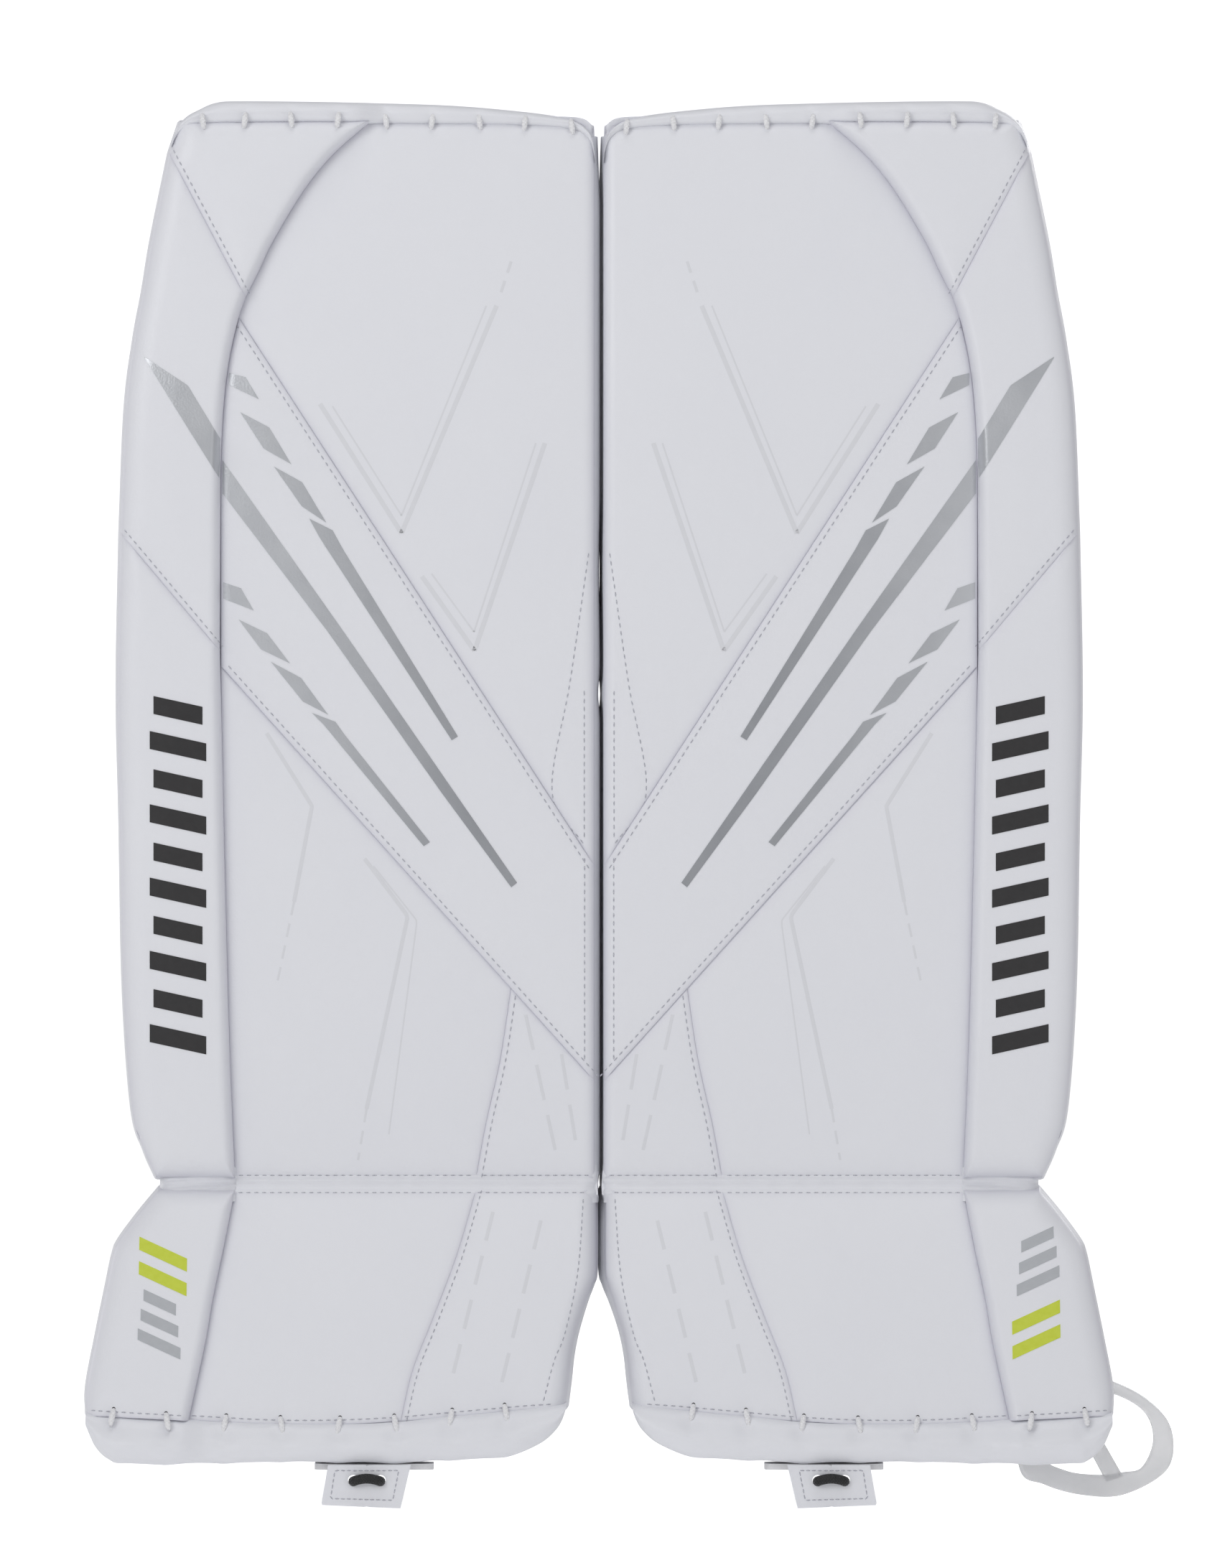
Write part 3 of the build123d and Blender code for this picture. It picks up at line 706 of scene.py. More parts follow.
INLAYS = [
    ("roll_middle", ((221.5, 598), (241.8, 630.4), (265.9, 669.4)), ((221.5, 622), (240.3, 652.9), (265.7, 669.7))),
    ("band", ((216.5, 653.5), (199, 645)), ((216.5, 660.5), (206.8, 658))),
    ("band", ((196.2, 616.2), (180, 607)), ((209.9, 637.5), (192.9, 628.5))),
    ("band", ((173.9, 582.4), (159.6, 572.9)), ((190.1, 605.6), (173.7, 596.5))),
    ("band", ((169.5, 575.2), (163, 563.4), (86.2, 445.6)), ((155.9, 568.4), (149.6, 557), (82.6, 447.8))),
    ("band", ((220.3, 590), (159, 509.5), (91.5, 414), (51.4, 359.6)),
     ((220.3, 609.5), (150.4, 510.5), (84.8, 415.4), (48.0, 362.2))),
    ("band", ((219.8, 528.5), (202, 521.5)), ((219.8, 538), (209.5, 534.5))),
    ("band", ((197.7, 498.7), (180.9, 490.6)), ((210.8, 516.2), (194.2, 508.1))),
    ("band", ((173.3, 468.3), (158.5, 460.5)), ((192, 491.5), (174.3, 482))),
    ("band", ((168, 461.6), (161, 454.6), (102.6, 383.6)), ((154.3, 456.4), (149, 449), (99.0, 386))),
]

# Pale grey lines and dashes that stand for lines embossed in the skin: their darker tone is painted shade of the
# emboss.
PALE_LINES = [
    ("upper_panel", ((60, 700), (115.6, 566.7)), 2.8), ("upper_panel", ((115.6, 566.7), (163.3, 642.4)), 2.8),
    ("upper_panel", ((66, 700), (115.6, 577)), 1.0), ("upper_panel", ((115.6, 577), (156, 641)), 1.0),
    ("upper_panel", ((31.7, 619.4), (72.9, 497.9)), 2.8), ("upper_panel", ((72.9, 497.9), (103.7, 541.5)), 2.8),
    ("upper_panel", ((37, 619.4), (73.2, 509)), 1.0), ("upper_panel", ((73.2, 509), (98, 543)), 1.0),
    ("lower_panel", ((194.5, 449.7), (167.9, 407.1), (178.4, 351.1)), 2.4),
    ("lower_panel", ((137.2, 376.3), (111.9, 342.8), (136, 230)), 2.4),
    ("lower_panel", ((132.0, 372), (106.5, 340), (123, 215)), 0.9),
]
PALE_DASHES = [
    ("upper_panel", ((51.5, 726), (60, 700)), 1.8, 7, 5),
    ("lower_panel", ((178.4, 351.1), (188, 305)), 1.4, 8, 5),
    ("lower_panel", ((136, 230), (141, 200)), 1.4, 8, 5),
    ("lower_insert", ((43, 285), (24, 198)), 2.0, 21, 9),
    ("lower_insert", ((22, 262), (12, 200)), 2.0, 21, 9),
    ("boot_insert", ((62, 170), (88, 64)), 2.2, 17, 9),
    ("boot_insert", ((34, 165), (58, 66)), 2.2, 17, 9),
]

def add_inlays_and_emboss_shade(side_name):
    for name, on_roll in (("silver_inlays", False), ("silver_slash", True)):
        parts = [decal(*inlay) for inlay in INLAYS if inlay[0].startswith("roll") == on_roll]
        add_piece(side_name, name, join(parts), FOIL)
    # the pale lines: painted shade of embossed lines, laid as thin ribbons
    for name, body in (("pad_pale_lines", "pad"), ("boot_pale_lines", "fold")):
        parts = [ribbon(*line) for line in PALE_LINES if PANELS[line[0]]["body"] == body]
        for panel_name, line, width, dash, gap in PALE_DASHES:
            if PANELS[panel_name]["body"] == body:
                parts += [ribbon(panel_name, run, width) for run in dashes(line, dash, gap)]
        add_piece(side_name, name, join(parts), PAINTED_EMBOSS_SHADE, body)


for side_name in SIDES:
    add_inlays_and_emboss_shade(side_name)


def slanted_bar(panel, x0, x1, z, height, slope):
    """A bar across a panel between two x, whose ends are upright and whose sides climb by slope."""
    climb = slope * (x1 - x0)
    return decal(panel, ((x0, z), (x1, z + climb)), ((x0, z + height), (x1, z + height + climb)), 0.25)


BAR_COUNT, GREY_COUNT, LIME_COUNT = 10, 3, 2
BAR_Z, BAR_PITCH, BAR_INSET = 262, 21.4, 2.2
BOOT_BARS_LOW, BOOT_BARS_HIGH = 86, 122  # grey below lime on the left boot, lime below grey on the right

for side_name in SIDES:
    insets = [BAR_INSET * (k % 2) for k in range(BAR_COUNT)]
    bars = [
        slanted_bar("roll_bottom", 229.5 + inset, 262.5 - inset, BAR_Z + BAR_PITCH * k, 10.5, 0.22)
        for k, inset in enumerate(insets)
    ]
    add_piece(side_name, "roll_bars", join(bars), BLACK_INK_AND_HOLE_SHADOW)
    grey_z, lime_z = BOOT_BARS_LOW, BOOT_BARS_HIGH
    if side_name == "right":
        grey_z, lime_z = lime_z, grey_z
    grey = [
        slanted_bar("boot_roll", 243 + 1.5 * k, 268 - 1.5 * k, grey_z + 12.5 * k, 6.5, 0.45)
        for k in range(GREY_COUNT)
    ]
    add_piece(side_name, "boot_grey_bars", join(grey), GREY_INK, "boot")
    lime = [slanted_bar("boot_roll", 240, 268, lime_z + 14.0 * k, 7.5, 0.45) for k in range(LIME_COUNT)]
    add_piece(side_name, "boot_lime_bars", join(lime), LIME_INK, "boot")


def spindle(length, radius, sides=6):
    """A spindle along +X: rings whose radius follows a half ellipse."""
    t = np.array([-1, -0.75, 0, 0.75, 1])
    r = radius * np.sqrt(np.maximum(1 - (t * 0.98) ** 2, 0.02))
    a = np.linspace(0, 2 * pi, sides, endpoint=False)
    rings = [np.repeat(t * length / 2, sides), np.outer(r, np.cos(a)).ravel(), np.outer(r, np.sin(a)).ravel()]
    last = (len(t) - 1) * sides
    ends = [tuple(range(sides))[::-1], tuple(range(last, last + sides))]
    return facing((np.stack(rings, axis=-1), [tuple(q) for q in grid_faces(len(t), sides, wrap=True)] + ends))


STITCH, TAB_STITCH = spindle(2.8, 0.4), spindle(2.6, 0.4)


def stitch_row(path, normal, pitch=4.6, stitch=STITCH):
    """Stitches laid end to end along a 3D path, each turned along it: the spindle's vertices times the local
    axes at each stitch."""
    along = lengths(path)
    at = np.arange(pitch / 2, along[-1], pitch)
    spot = read_off(at, along, path)
    t = unit(read_off(at + 1, along, path) - read_off(at - 1, along, path))
    b = unit(np.cross(np.broadcast_to(normal, t.shape), t))
    axes = np.stack([t, b, np.cross(t, b)], axis=1)
    verts, faces = stitch
    placed = spot[:, None] + np.einsum("vk,skx->svx", verts, axes)
    every = [tuple(i + k * len(verts) for i in face) for k in range(len(spot)) for face in faces]
    return placed.reshape(-1, 3), every


def seam_path(panel, points, lift=0.1):
    flat = curve(points, np.linspace(0, 1, max(3, int(run_length(points) / 2.5))))
    return on_front(flat, proud(panel, flat)[0] + lift)


def beside(points, gap):
    """A line moved square to itself by gap, to its left."""
    p = curve(points, np.linspace(0, 1, 40))
    return p + left_of(p) * gap


SHIN_ROW, BOOT_ROW = SHIN_END + 1.4, BOOT_START - 1.4  # heights of the stitched rows on either side of the break
FRONT_STITCHES = [
    ("band", beside(UPPER_SEAM, -3.4)), ("band", beside(LOWER_SEAM, 3.4)),
    ("lower_insert", beside(SHIN_INSERT, 3.2)), ("lower_panel", ((74, SHIN_ROW), (212, SHIN_ROW))),
    ("lower_insert", ((5, SHIN_ROW), (70, SHIN_ROW))), ("boot_insert", ((5, BOOT_ROW), (70, BOOT_ROW))),
    ("boot_panel", ((74, BOOT_ROW), (212, BOOT_ROW))), ("boot_insert", beside(BOOT_INSERT, 3.2)),
    ("upper_panel", ((6, 556), (17, 480), (27.5, 415), (8.5, 384))),
    ("roll_top", beside(ROLL_SEAM_HIGH, 3.0)), ("roll_middle", beside(ROLL_SEAM_LOW, 3.0)),
    ("band", ((8.5, 258), (8.5, 376))), ("upper_panel", ((8.7, 388), (8.7, 476))),
    ("boot_insert", ((9.2, 178), (12.5, 135), (20, 100), (26, 85), (32, 63))),
    ("boot_insert", ((27, 60.2), (50, 58.6), (113, 53))),
    ("boot_panel", ((118, 52.6), (150, 51.2), (190, 51.2), (236, 53.6))),
    ("boot_roll", ((241, 54), (294, 57))),
]
for side_name in SIDES:
    for name, body in (("pad_stitching", "pad"), ("boot_stitching", "fold")):
        lines = [line for line in FRONT_STITCHES if PANELS[line[0]]["body"] == body]
        rows = [stitch_row(seam_path(*line), (0, -1, 0)) for line in lines]
        add_piece(side_name, name, join(rows), THREAD, body)

# ---------------------------------------------------------------- top roll and toe roll
TOP_CROWN = (
    (2.6, 788), (3.4, 796), (6, 803), (11, 807.6), (20, 811), (45, 814.6), (90, 818.3), (154, 820), (210, 820.6),
    (225, 819.6), (235, 815.5), (242, 811.6), (247.5, 805.5), (250.5, 797),
)


def top_roll_shape():
    """The cap along the top: a flattened ring at each x, from the laced seam over the crown to the back, thicker
    where it crosses the outer roll, and pinched at each lace."""
    x = np.r_[2.6, 2.9, 3.6, 4.8, 6.5, np.linspace(9, 243, 180), 245.5, 247.5, 249, 250, 250.5]
    pinch = pucker(x, LACE_X, 5.0)
    low, high = table_curve(TOP_SEAM, x), table_curve(TOP_CROWN, x)
    tall = np.maximum(high - low, 0.6)
    out = 8.0 * step_up(x, 124, 146)
    base = front_plane(low)
    knots = [
        (base + 3.0 - out, low - 2.0),
        (base - out - 1.6 + 1.0 * pinch, low + 0.30 * tall),
        (base - out - 0.6 + 0.8 * pinch, low + 0.66 * tall),
        (base + 4 - 0.8 * out, high - 0.6),
        (base + 16, high + 0.2),
        (base + 34, high - 0.2),
        (base + 43, low + 0.55 * tall),
        (base + PAD_BACK - 0.3, low - 1.0),
        (base + 25, low - 3.0),
    ]
    return swept_knots(x, knots, 56)


TOE_UNDER = (
    (19, 57.5), (21, 51), (25, 44.5), (34, 37), (50, 31), (70, 28.4), (95, 27.4), (110, 26.6), (160, 26.4),
    (185, 27.2), (215, 26), (272, 26), (284, 28.5), (292, 35), (297.5, 46),
)


def toe_roll_shape():
    """The roll under the toe: a ring at each x through the laced seam, a bulging nose, the flat underside and
    the back, drawn in at each lace."""
    x = np.r_[19, 19.3, 20, 21.2, np.linspace(23, 293.5, 200), 295.3, 296.5, 297.2, 297.5]
    pinch = pucker(x, TOE_LACE_X)
    top, under = table_curve(TOE_SEAM, x), table_curve(TOE_UNDER, x)
    tall = np.maximum(top - under, 1.0)
    out = 7.0 * step_up(x, 226, 246)
    wave = 0.8 * np.sin(x / 11) + 0.5 * np.sin(x / 5.3 + 1)
    slope = front_plane(top)
    hug = 7 * (1 - step_up(297.5 - x, 0, 9)) + 5 * (1 - step_up(x - 19, 0, 8))  # the back turns in at both ends
    knots = [
        (slope + 0.6 - out, top - 0.2),
        (slope - tall * 0.2 - 3.4 - out + 2.5 * pinch, top - 0.26 * tall),
        (slope - tall * 0.42 - 3.8 - out + 0.8 * pinch + 0.3 * wave, top - 0.6 * tall),
        (slope - tall * 0.45 + 3 - 0.6 * out, under + 1.2 - 0.5 * pinch + 0.3 * wave),
        (slope - tall * 0.3 + 14, under + 0.3 + 0.3 * wave),
        (slope - tall * 0.5 + BOOT_BACK - 11 - 0.5 * hug, under + 0.6),
        (slope - tall * 0.42 + BOOT_BACK - 2.5 - hug, under + 0.35 * tall),
        (slope + BOOT_BACK - 1.2 - hug, top + 0.5),
        (slope + 25, top + 1.5),
    ]
    return swept_knots(x, knots, 64)


def lace_shape(x, z, panel, length, sway):
    """One lace stitch: a tube that comes out of a hole below the seam, stands over it and dives in above it."""
    t = np.linspace(-1, 1, 9)
    spots = np.stack([x + sway * t, z + t * length / 2], axis=-1)
    height = proud(panel, np.array([[x, z - length / 2 - 1.0]]))[0][0] + 0.8
    arch = height + 1.7 * (1 - t**2) - 3.2 * np.maximum(np.abs(t) - 0.8, 0) / 0.2
    path = on_front(spots, arch)
    return swept(rings_round(path, np.gradient(path, axis=0), 1.7 * (1 - 0.25 * t**2), 10, (0, -1, 0)))


def lace_hole_shadow_shape(x, z, panel, length, sway):
    """The punched hole above a lace stitch as painted shadow: a flat dark spindle on the skin, seen as the dark eye
    round the lace.
    """
    at = np.array([[x + sway, z + length / 2 + 0.2]])
    centre = on_front(at, proud(panel, at)[0])[0]
    verts, faces = spindle(2.6, 1.0, 8)
    return verts[:, [1, 2, 0]] * (1.2, 0.5, 1.0) + centre, faces


def panel_at(x, edges):
    """The panel that holds a lace at x, from (first x beyond it, panel) pairs."""
    return next(panel for end, panel in edges if x < end)


TOP_PANELS = ((140, "upper_panel"), (1000, "roll_top"))
TOE_PANELS = ((115, "boot_insert"), (238, "boot_panel"), (1000, "boot_roll"))
TOP_LACES = [
    (x, table_curve(TOP_SEAM, x) - 0.6, panel_at(x, TOP_PANELS), 8.0, 0.5 * (-1) ** i)
    for i, x in enumerate(LACE_X)
]
TOE_LACES = [
    (x, table_curve(TOE_SEAM, x) - 1.0, panel_at(x, TOE_PANELS), 8.6, 0.8 * (-1) ** i)
    for i, x in enumerate(TOE_LACE_X)
]
TOP_LACING = join([lace_shape(*lace) for lace in TOP_LACES])
TOE_LACING = join([lace_shape(*lace) for lace in TOE_LACES])
TOE_HOLE_SHADOWS = join([lace_hole_shadow_shape(*lace) for lace in TOE_LACES])

for side_name in SIDES:
    add_piece(side_name, "top_cap", top_roll_shape(), WHITE, "pad", ["top_roll"])
    add_piece(side_name, "toe_bumper", toe_roll_shape(), WHITE, "boot", ["toe_roll"])
    add_piece(side_name, "top_laces", TOP_LACING, LACE, "pad", ["top_lacing"])
    # a dark disc of painted shadow at each toe lace hole, in the black print's finish
    add_piece(side_name, "toe_lace_hole_shadows", TOE_HOLE_SHADOWS, BLACK_INK_AND_HOLE_SHADOW, "boot")
    add_piece(side_name, "toe_laces", TOE_LACING, LACE, "boot", ["toe_lacing"])


# ---------------------------------------------------------------- sides, back lining and the break
def carried_up(z, section):
    """A grid whose rows are one section of (x, depth) points carried up the pad along its front plane."""
    x = np.broadcast_to(section[:, 0], (len(z), len(section)))
    return np.stack([x, front_plane(z)[:, None] + section[:, 1], np.broadcast_to(z[:, None], x.shape)], axis=-1)


MEDIAL_LINE = (
    (7.5, 3.0), (3.6, 3.6), (2.2, 7), (1.1, 13), (0.9, 25), (1.0, 38), (2.2, 44), (6.5, 46.3), (13, 46.6),
)


def medial_edge_shape():
    """The inner side wall: a rounded channel section carried up the shin, and a smaller one inside it."""
    z = np.linspace(191, 800, 200)
    section = curve(MEDIAL_LINE, np.linspace(0, 1, 26))
    return slab(carried_up(z, section), carried_up(z, section * (0.6, 0.94) + (2.6, 1.2)))


def back_panel_shape():
    """The lining of the pad's back: a thin cushion with a crown that grows from its edges."""
    sides = {
        "bottom": ((7, 193), (209, 193)), "top": ((10, 792), (60, 802), (150, 803)),
        "left": ((7, 193), (7, 400), (7, 770), (10, 792)),
        "right": ((209, 193), (217, 500), (216, 640), (204, 705), (176, 760), (150, 803)),
    }
    flat = coons(sides, np.linspace(0, 1, 60), np.linspace(0, 1, 160))
    lines = [curve(line, np.linspace(0, 1, 40)) for line in sides.values()]
    away = np.minimum.reduce([distance(flat.reshape(-1, 2), line) for line in lines])
    crown = (1.6 * (1 - np.exp(-away / 6))).reshape(flat.shape[:2])
    return slab(on_front(flat, 1.2 - PAD_BACK), on_front(flat, -PAD_BACK - crown))


def boot_back_shape():
    """The lining of the boot's back."""
    sides = {
        "bottom": ((30, 56), (290, 56)), "top": ((8, 150), (272, 150)),
        "left": ((30, 56), (14, 100), (8, 150)), "right": ((290, 56), (284, 108), (272, 150)),
    }
    flat = coons(sides, np.linspace(0, 1, 50), np.linspace(0, 1, 40))
    return slab(on_front(flat, 1 - BOOT_BACK), on_front(flat, -BOOT_BACK - 0.3))


def break_strip_shape():
    """The flexible strip across the break: it hangs slack between shin and boot, dipping in the middle and at each
    stitched line, and its inner end turns in as the panels above and below it do."""
    z = np.linspace(197, 175, 41)
    stitched = bell(z, 188.9, 1.0) + bell(z, 183.1, 1.0)
    dip = 1.0 + 1.6 * bell(z, BREAK_Z, 2.4) + 0.8 * stitched + 2.5 * step_up(np.abs(z - BREAK_Z), 4.5, 9)
    x = np.r_[1.6, 2.0, 2.8, 3.8, 5.0, np.linspace(7, 209, 160), 212, 215]
    grid_x, grid_z = np.meshgrid(x, z)
    folds = 0.35 * np.sin(x / 3.1 + 2 * np.sin(x / 17)) * bell(z[:, None], BREAK_Z, 4)
    below = step_up(188 - z, 0, 5)[:, None]
    inner_end = (5 + 5 * below) * (1 - quarter((x - 1.6) / (7 + 3 * below)))
    front = np.stack([grid_x, front_plane(grid_z) + dip[:, None] + folds + inner_end, grid_z], axis=-1)
    return slab(front, front + (0, 2.2, 0))


def break_gusset_shape():
    """The gusset behind the break: a wedge whose back hollows in, from the strip to the back edges."""
    t = np.linspace(0, 1, 14)
    level = np.zeros(14)
    upper = np.stack([level, 9 + 32 * t, level + 193.0], axis=-1)
    lower = np.stack([level, 5 + 33 * t, 179.5 - 0.55 * 29 * t], axis=-1)
    down = np.linspace(0, 1, 8)[:, None, None]
    section = upper * (1 - down) + lower * down
    section[..., 1] -= 6 * np.sin(pi * down[..., 0]) * t
    ring = section.reshape(-1, 3)[rim_of(8, 14)]
    x = np.r_[1.2, 1.7, 3.0, np.linspace(7, 257, 58)]
    return swept(ring[None] + x[:, None, None] * (1, 0, 0))


def roll_neck_shape():
    """The outer roll where it is pinched in at the break: a saddle that stands a little proud of the strip, dips
    between the two stitched lines and turns back round the outer edge."""
    z = np.linspace(196, 176, 27)[:, None]
    turned = (252, 255.5, 257.5, 258.4, 258.6, 258.6, 258.5, 258.3, 258, 257.6)
    x = np.r_[212.5, 214, 217, np.linspace(221, 247, 9), turned]
    back = np.r_[0, -1.6, -3.2, np.full(9, -4.2), -3.8, -2.4, 0.2, 4, 9, 16, 22, 28, 33, 38]
    dip = 2.2 * bell(z, BREAK_Z, 3.5) + 1.5 * (bell(z, 190.5, 1.6) + bell(z, 181.5, 1.6))
    crease = 0.5 * np.sin(z * 1.9 + x / 7) * (np.abs(z - BREAK_Z) < 7)
    y = front_plane(z) + back + dip + crease
    front = np.stack([x - 0.8 * dip * (x > 250), y, np.broadcast_to(z, y.shape)], axis=-1)
    return slab(front, front + np.stack([-2.5 * (x > 250), 3.0 * (x < 256), 0 * x], axis=-1))


for side_name in SIDES:
    add_piece(side_name, "medial_edge", medial_edge_shape(), SLIDE, "pad", ["medial_edge_panel"])
    add_piece(side_name, "back_lining", back_panel_shape(), LINING, "pad", ["back_cover"])
    add_piece(side_name, "boot_lining", boot_back_shape(), LINING, "boot")
    add_piece(side_name, "break_skin", break_strip_shape(), WHITE, "fold", ["break_strip"])
    add_piece(side_name, "break_gusset", break_gusset_shape(), WHITE, "fold")
    add_piece(side_name, "break_neck", roll_neck_shape(), WHITE, "fold")

# ---------------------------------------------------------------- leg channel
WRAP_HINGE = (208.0, 53.0)
CALF_Z, KNEE_Z = (222.0, 450.0), (478.0, 596.0)
CALF_DEPTH, KNEE_DEPTH = 150.0, 165.0
WRAP_THICK, WRAP_POINTS, WRAP_CHANNEL = 9.0, 90, 56.0  # the last is about how far apart the sewn channels are


def rounded_block(lo, hi, chamfer, radius=9.0, bulge=3.0, step=4.0):
    """A soft block: a box whose edges are rounded by a ball, its two back corners cut by a chamfer, and its faces
    bowed out by a product of half cosines."""
    lo, hi = np.asarray(lo, float), np.asarray(hi, float)
    size = hi - lo
    n = [max(6, int(s / step)) for s in size]
    others = [(1, 2), (0, 2), (0, 1)]
    verts, faces, start = [], [], 0
    for axis, (a, b) in enumerate(others):
        for end in (0, 1):
            u, v = np.meshgrid(np.linspace(0, 1, n[a] + 1), np.linspace(0, 1, n[b] + 1))
            p = np.zeros((*u.shape, 3))
            p[..., a], p[..., b], p[..., axis] = u, v, end
            verts.append(p.reshape(-1, 3))
            quads = grid_faces(*u.shape, start)
            faces.append(quads if (end == 1) != (axis == 1) else quads[:, ::-1])
            start += u.size
    p = np.vstack(verts) * size
    core = np.clip(p, radius, size - radius)
    away = p - core
    p = core + unit(away) * np.minimum(np.linalg.norm(away, axis=1, keepdims=True), radius)
    t = (p - size / 2) / (size / 2)
    for axis, (a, b) in enumerate(others):
        on = np.abs(t[:, axis]) > 0.97
        p[on, axis] += np.sign(t[on, axis]) * bulge * np.cos(t[on, a] * pi / 2) * np.cos(t[on, b] * pi / 2)
    if chamfer:
        for end, sign in ((0.0, -1), (size[2], 1)):
            over = (p[:, 1] - (size[1] - chamfer)) + sign * (p[:, 2] - (end - sign * chamfer)) - chamfer
            cut = np.maximum(over, 0) / 2
            p[:, 1] -= cut
            p[:, 2] -= sign * cut
    return facing((p + lo, np.vstack(faces)))


CLOTH = {
    "quality": 5, "mass": 0.2, "tension_stiffness": 12, "compression_stiffness": 12, "bending_stiffness": 0.4,
    "use_pressure": True, "uniform_pressure_force": 4, "shrink_min": -0.05, "vertex_group_mass": "held",
}
CLOTH_STEPS = 20


def plumped(shape, lo, hi, room, voxel=4.5, cap=5.0, held_width=4.5):
    """A sewn block blown up as cloth: remeshed, its fabric cut a little larger than the foam and held along the
    block's edges, where it puckers. No point moves more than cap, or out of the room given by two corners."""
    scene = bpy.context.scene
    blank = mesh_object("blank", shape[0] * MM, shape[1])

    def evaluated():
        bpy.context.view_layer.update()
        return bpy.data.meshes.new_from_object(blank.evaluated_get(bpy.context.evaluated_depsgraph_get()))

    def points(of):
        flat = np.empty(len(of.vertices) * 3)
        of.vertices.foreach_get("co", flat)
        return flat.reshape(-1, 3) / MM

    remesh = blank.modifiers.new("remesh", "REMESH")
    remesh.mode, remesh.voxel_size = "VOXEL", voxel * MM
    cut = evaluated()
    blank.modifiers.clear()
    blank.data = cut
    rest = points(cut)
    close = (np.minimum(rest - lo, hi - rest) < held_width).sum(1)
    held = blank.vertex_groups.new(name="held")
    held.add(np.flatnonzero(close >= 2).tolist(), 1.0, "REPLACE")
    cloth = blank.modifiers.new("cloth", "CLOTH")
    for setting, value in CLOTH.items():
        setattr(cloth.settings, setting, value)
    cloth.settings.effector_weights.gravity = 0
    cloth.collision_settings.use_collision = False
    for step in range(1, CLOTH_STEPS + 1):
        scene.frame_set(step)
    blown = points(evaluated())
    scene.frame_set(1)
    blank.modifiers.clear()
    moved = blown - rest
    reach = np.maximum(np.linalg.norm(moved, axis=1, keepdims=True), 1e-9)
    blown = np.clip(rest + moved * np.minimum(1, cap / reach), *room)
    cut.vertices.foreach_set("co", (blown * MM).ravel())
    smooth = blank.modifiers.new("smooth", "SUBSURF")
    smooth.levels = smooth.render_levels = 1
    done = evaluated()
    faces = [tuple(face.vertices) for face in done.polygons]
    verts = points(done)
    bpy.data.objects.remove(blank)
    return verts, faces


def cushion(lo, hi, room, chamfer, radius):
    """A foam block in its sewn skin, and how near each point is to a sewn edge, which the leather turns into
    painted shade.
    """
    verts, faces = plumped(rounded_block(lo, hi, chamfer, radius, 1.3), lo, hi, room)
    away = np.sort(np.abs(np.minimum(verts - lo, hi - verts)), axis=1)[:, 1]
    return (verts, faces), np.exp(-away / 1.8)


def liner_shape(z0, z1, x0=75, x1=195):
    """A quilted cushion on the back: a pillow crossed by sewn channels, whose depth follows the distance to the
    nearest channel as a quarter round."""
    x, z = np.meshgrid(np.linspace(x0, x1, 70), np.linspace(z0, z1, int((z1 - z0) / 2.2)))
    edge = np.minimum.reduce([x - x0, x1 - x, z - z0, z1 - z])
    channel = np.minimum(np.abs((z - z0 + 18) % 36 - 18), np.abs(x - (x0 + x1) / 2))
    channel = np.where(edge < 6, 99, channel)
    fill = quarter(edge / 7) * (0.55 + 0.45 * quarter(channel / 9))
    front = np.stack([x, np.full(x.shape, PAD_BACK + 0.5), z], axis=-1)
    return slab(front, np.stack([x, PAD_BACK + 1.0 + 10.6 * fill, z], axis=-1))


def wrap_course(depth):
    """A wrap's line seen from above, its outward directions and its length."""
    x, y = WRAP_HINGE
    line = ((x, y - 2.5), (x + 3, y + 0.5 * (depth - y)), (x - 18, depth - 12), (x - 58, depth))
    p = curve(line, np.linspace(0, 1, WRAP_POINTS))
    return p, -left_of(p), run_length(line)


def moved_out(line, out, offset, z):
    """A grid of points: a line seen from above, moved outwards by an offset at each height."""
    spot = line + out * offset[..., None]
    return np.concatenate([spot, np.broadcast_to(z[:, None, None], (*spot.shape[:2], 1))], axis=-1)


def wrap_shapes(z0, z1, depth):
    """A padded wrap and its lining: a sheet that follows the wrap's line, whose thickness swells between sewn
    channels and closes at the edges as a quarter round."""
    p, out, length = wrap_course(depth)
    z = np.linspace(z0, z1, int((z1 - z0) / 2.4))
    s, height = np.meshgrid(np.linspace(0, length, WRAP_POINTS), z)
    near = np.minimum.reduce([s, length - s, height - z0, z1 - height])
    pitch = (z1 - z0) / round((z1 - z0) / WRAP_CHANNEL)
    channel = np.where(near < 8, 99, np.abs((height - z0 + pitch / 2) % pitch - pitch / 2))
    round_off = quarter(near / 5)
    fill = round_off * (0.62 + 0.38 * quarter(channel / 8))
    half, flat = WRAP_THICK / 2, np.ones(fill.shape)
    outer = slab(moved_out(p, out, half * fill, z), moved_out(p, out, -0.6 * flat, z))
    inside = moved_out(p, out, -half * (0.35 * round_off + 0.65 * fill), z)
    return outer, slab(moved_out(p, out, -0.7 * flat, z), inside)


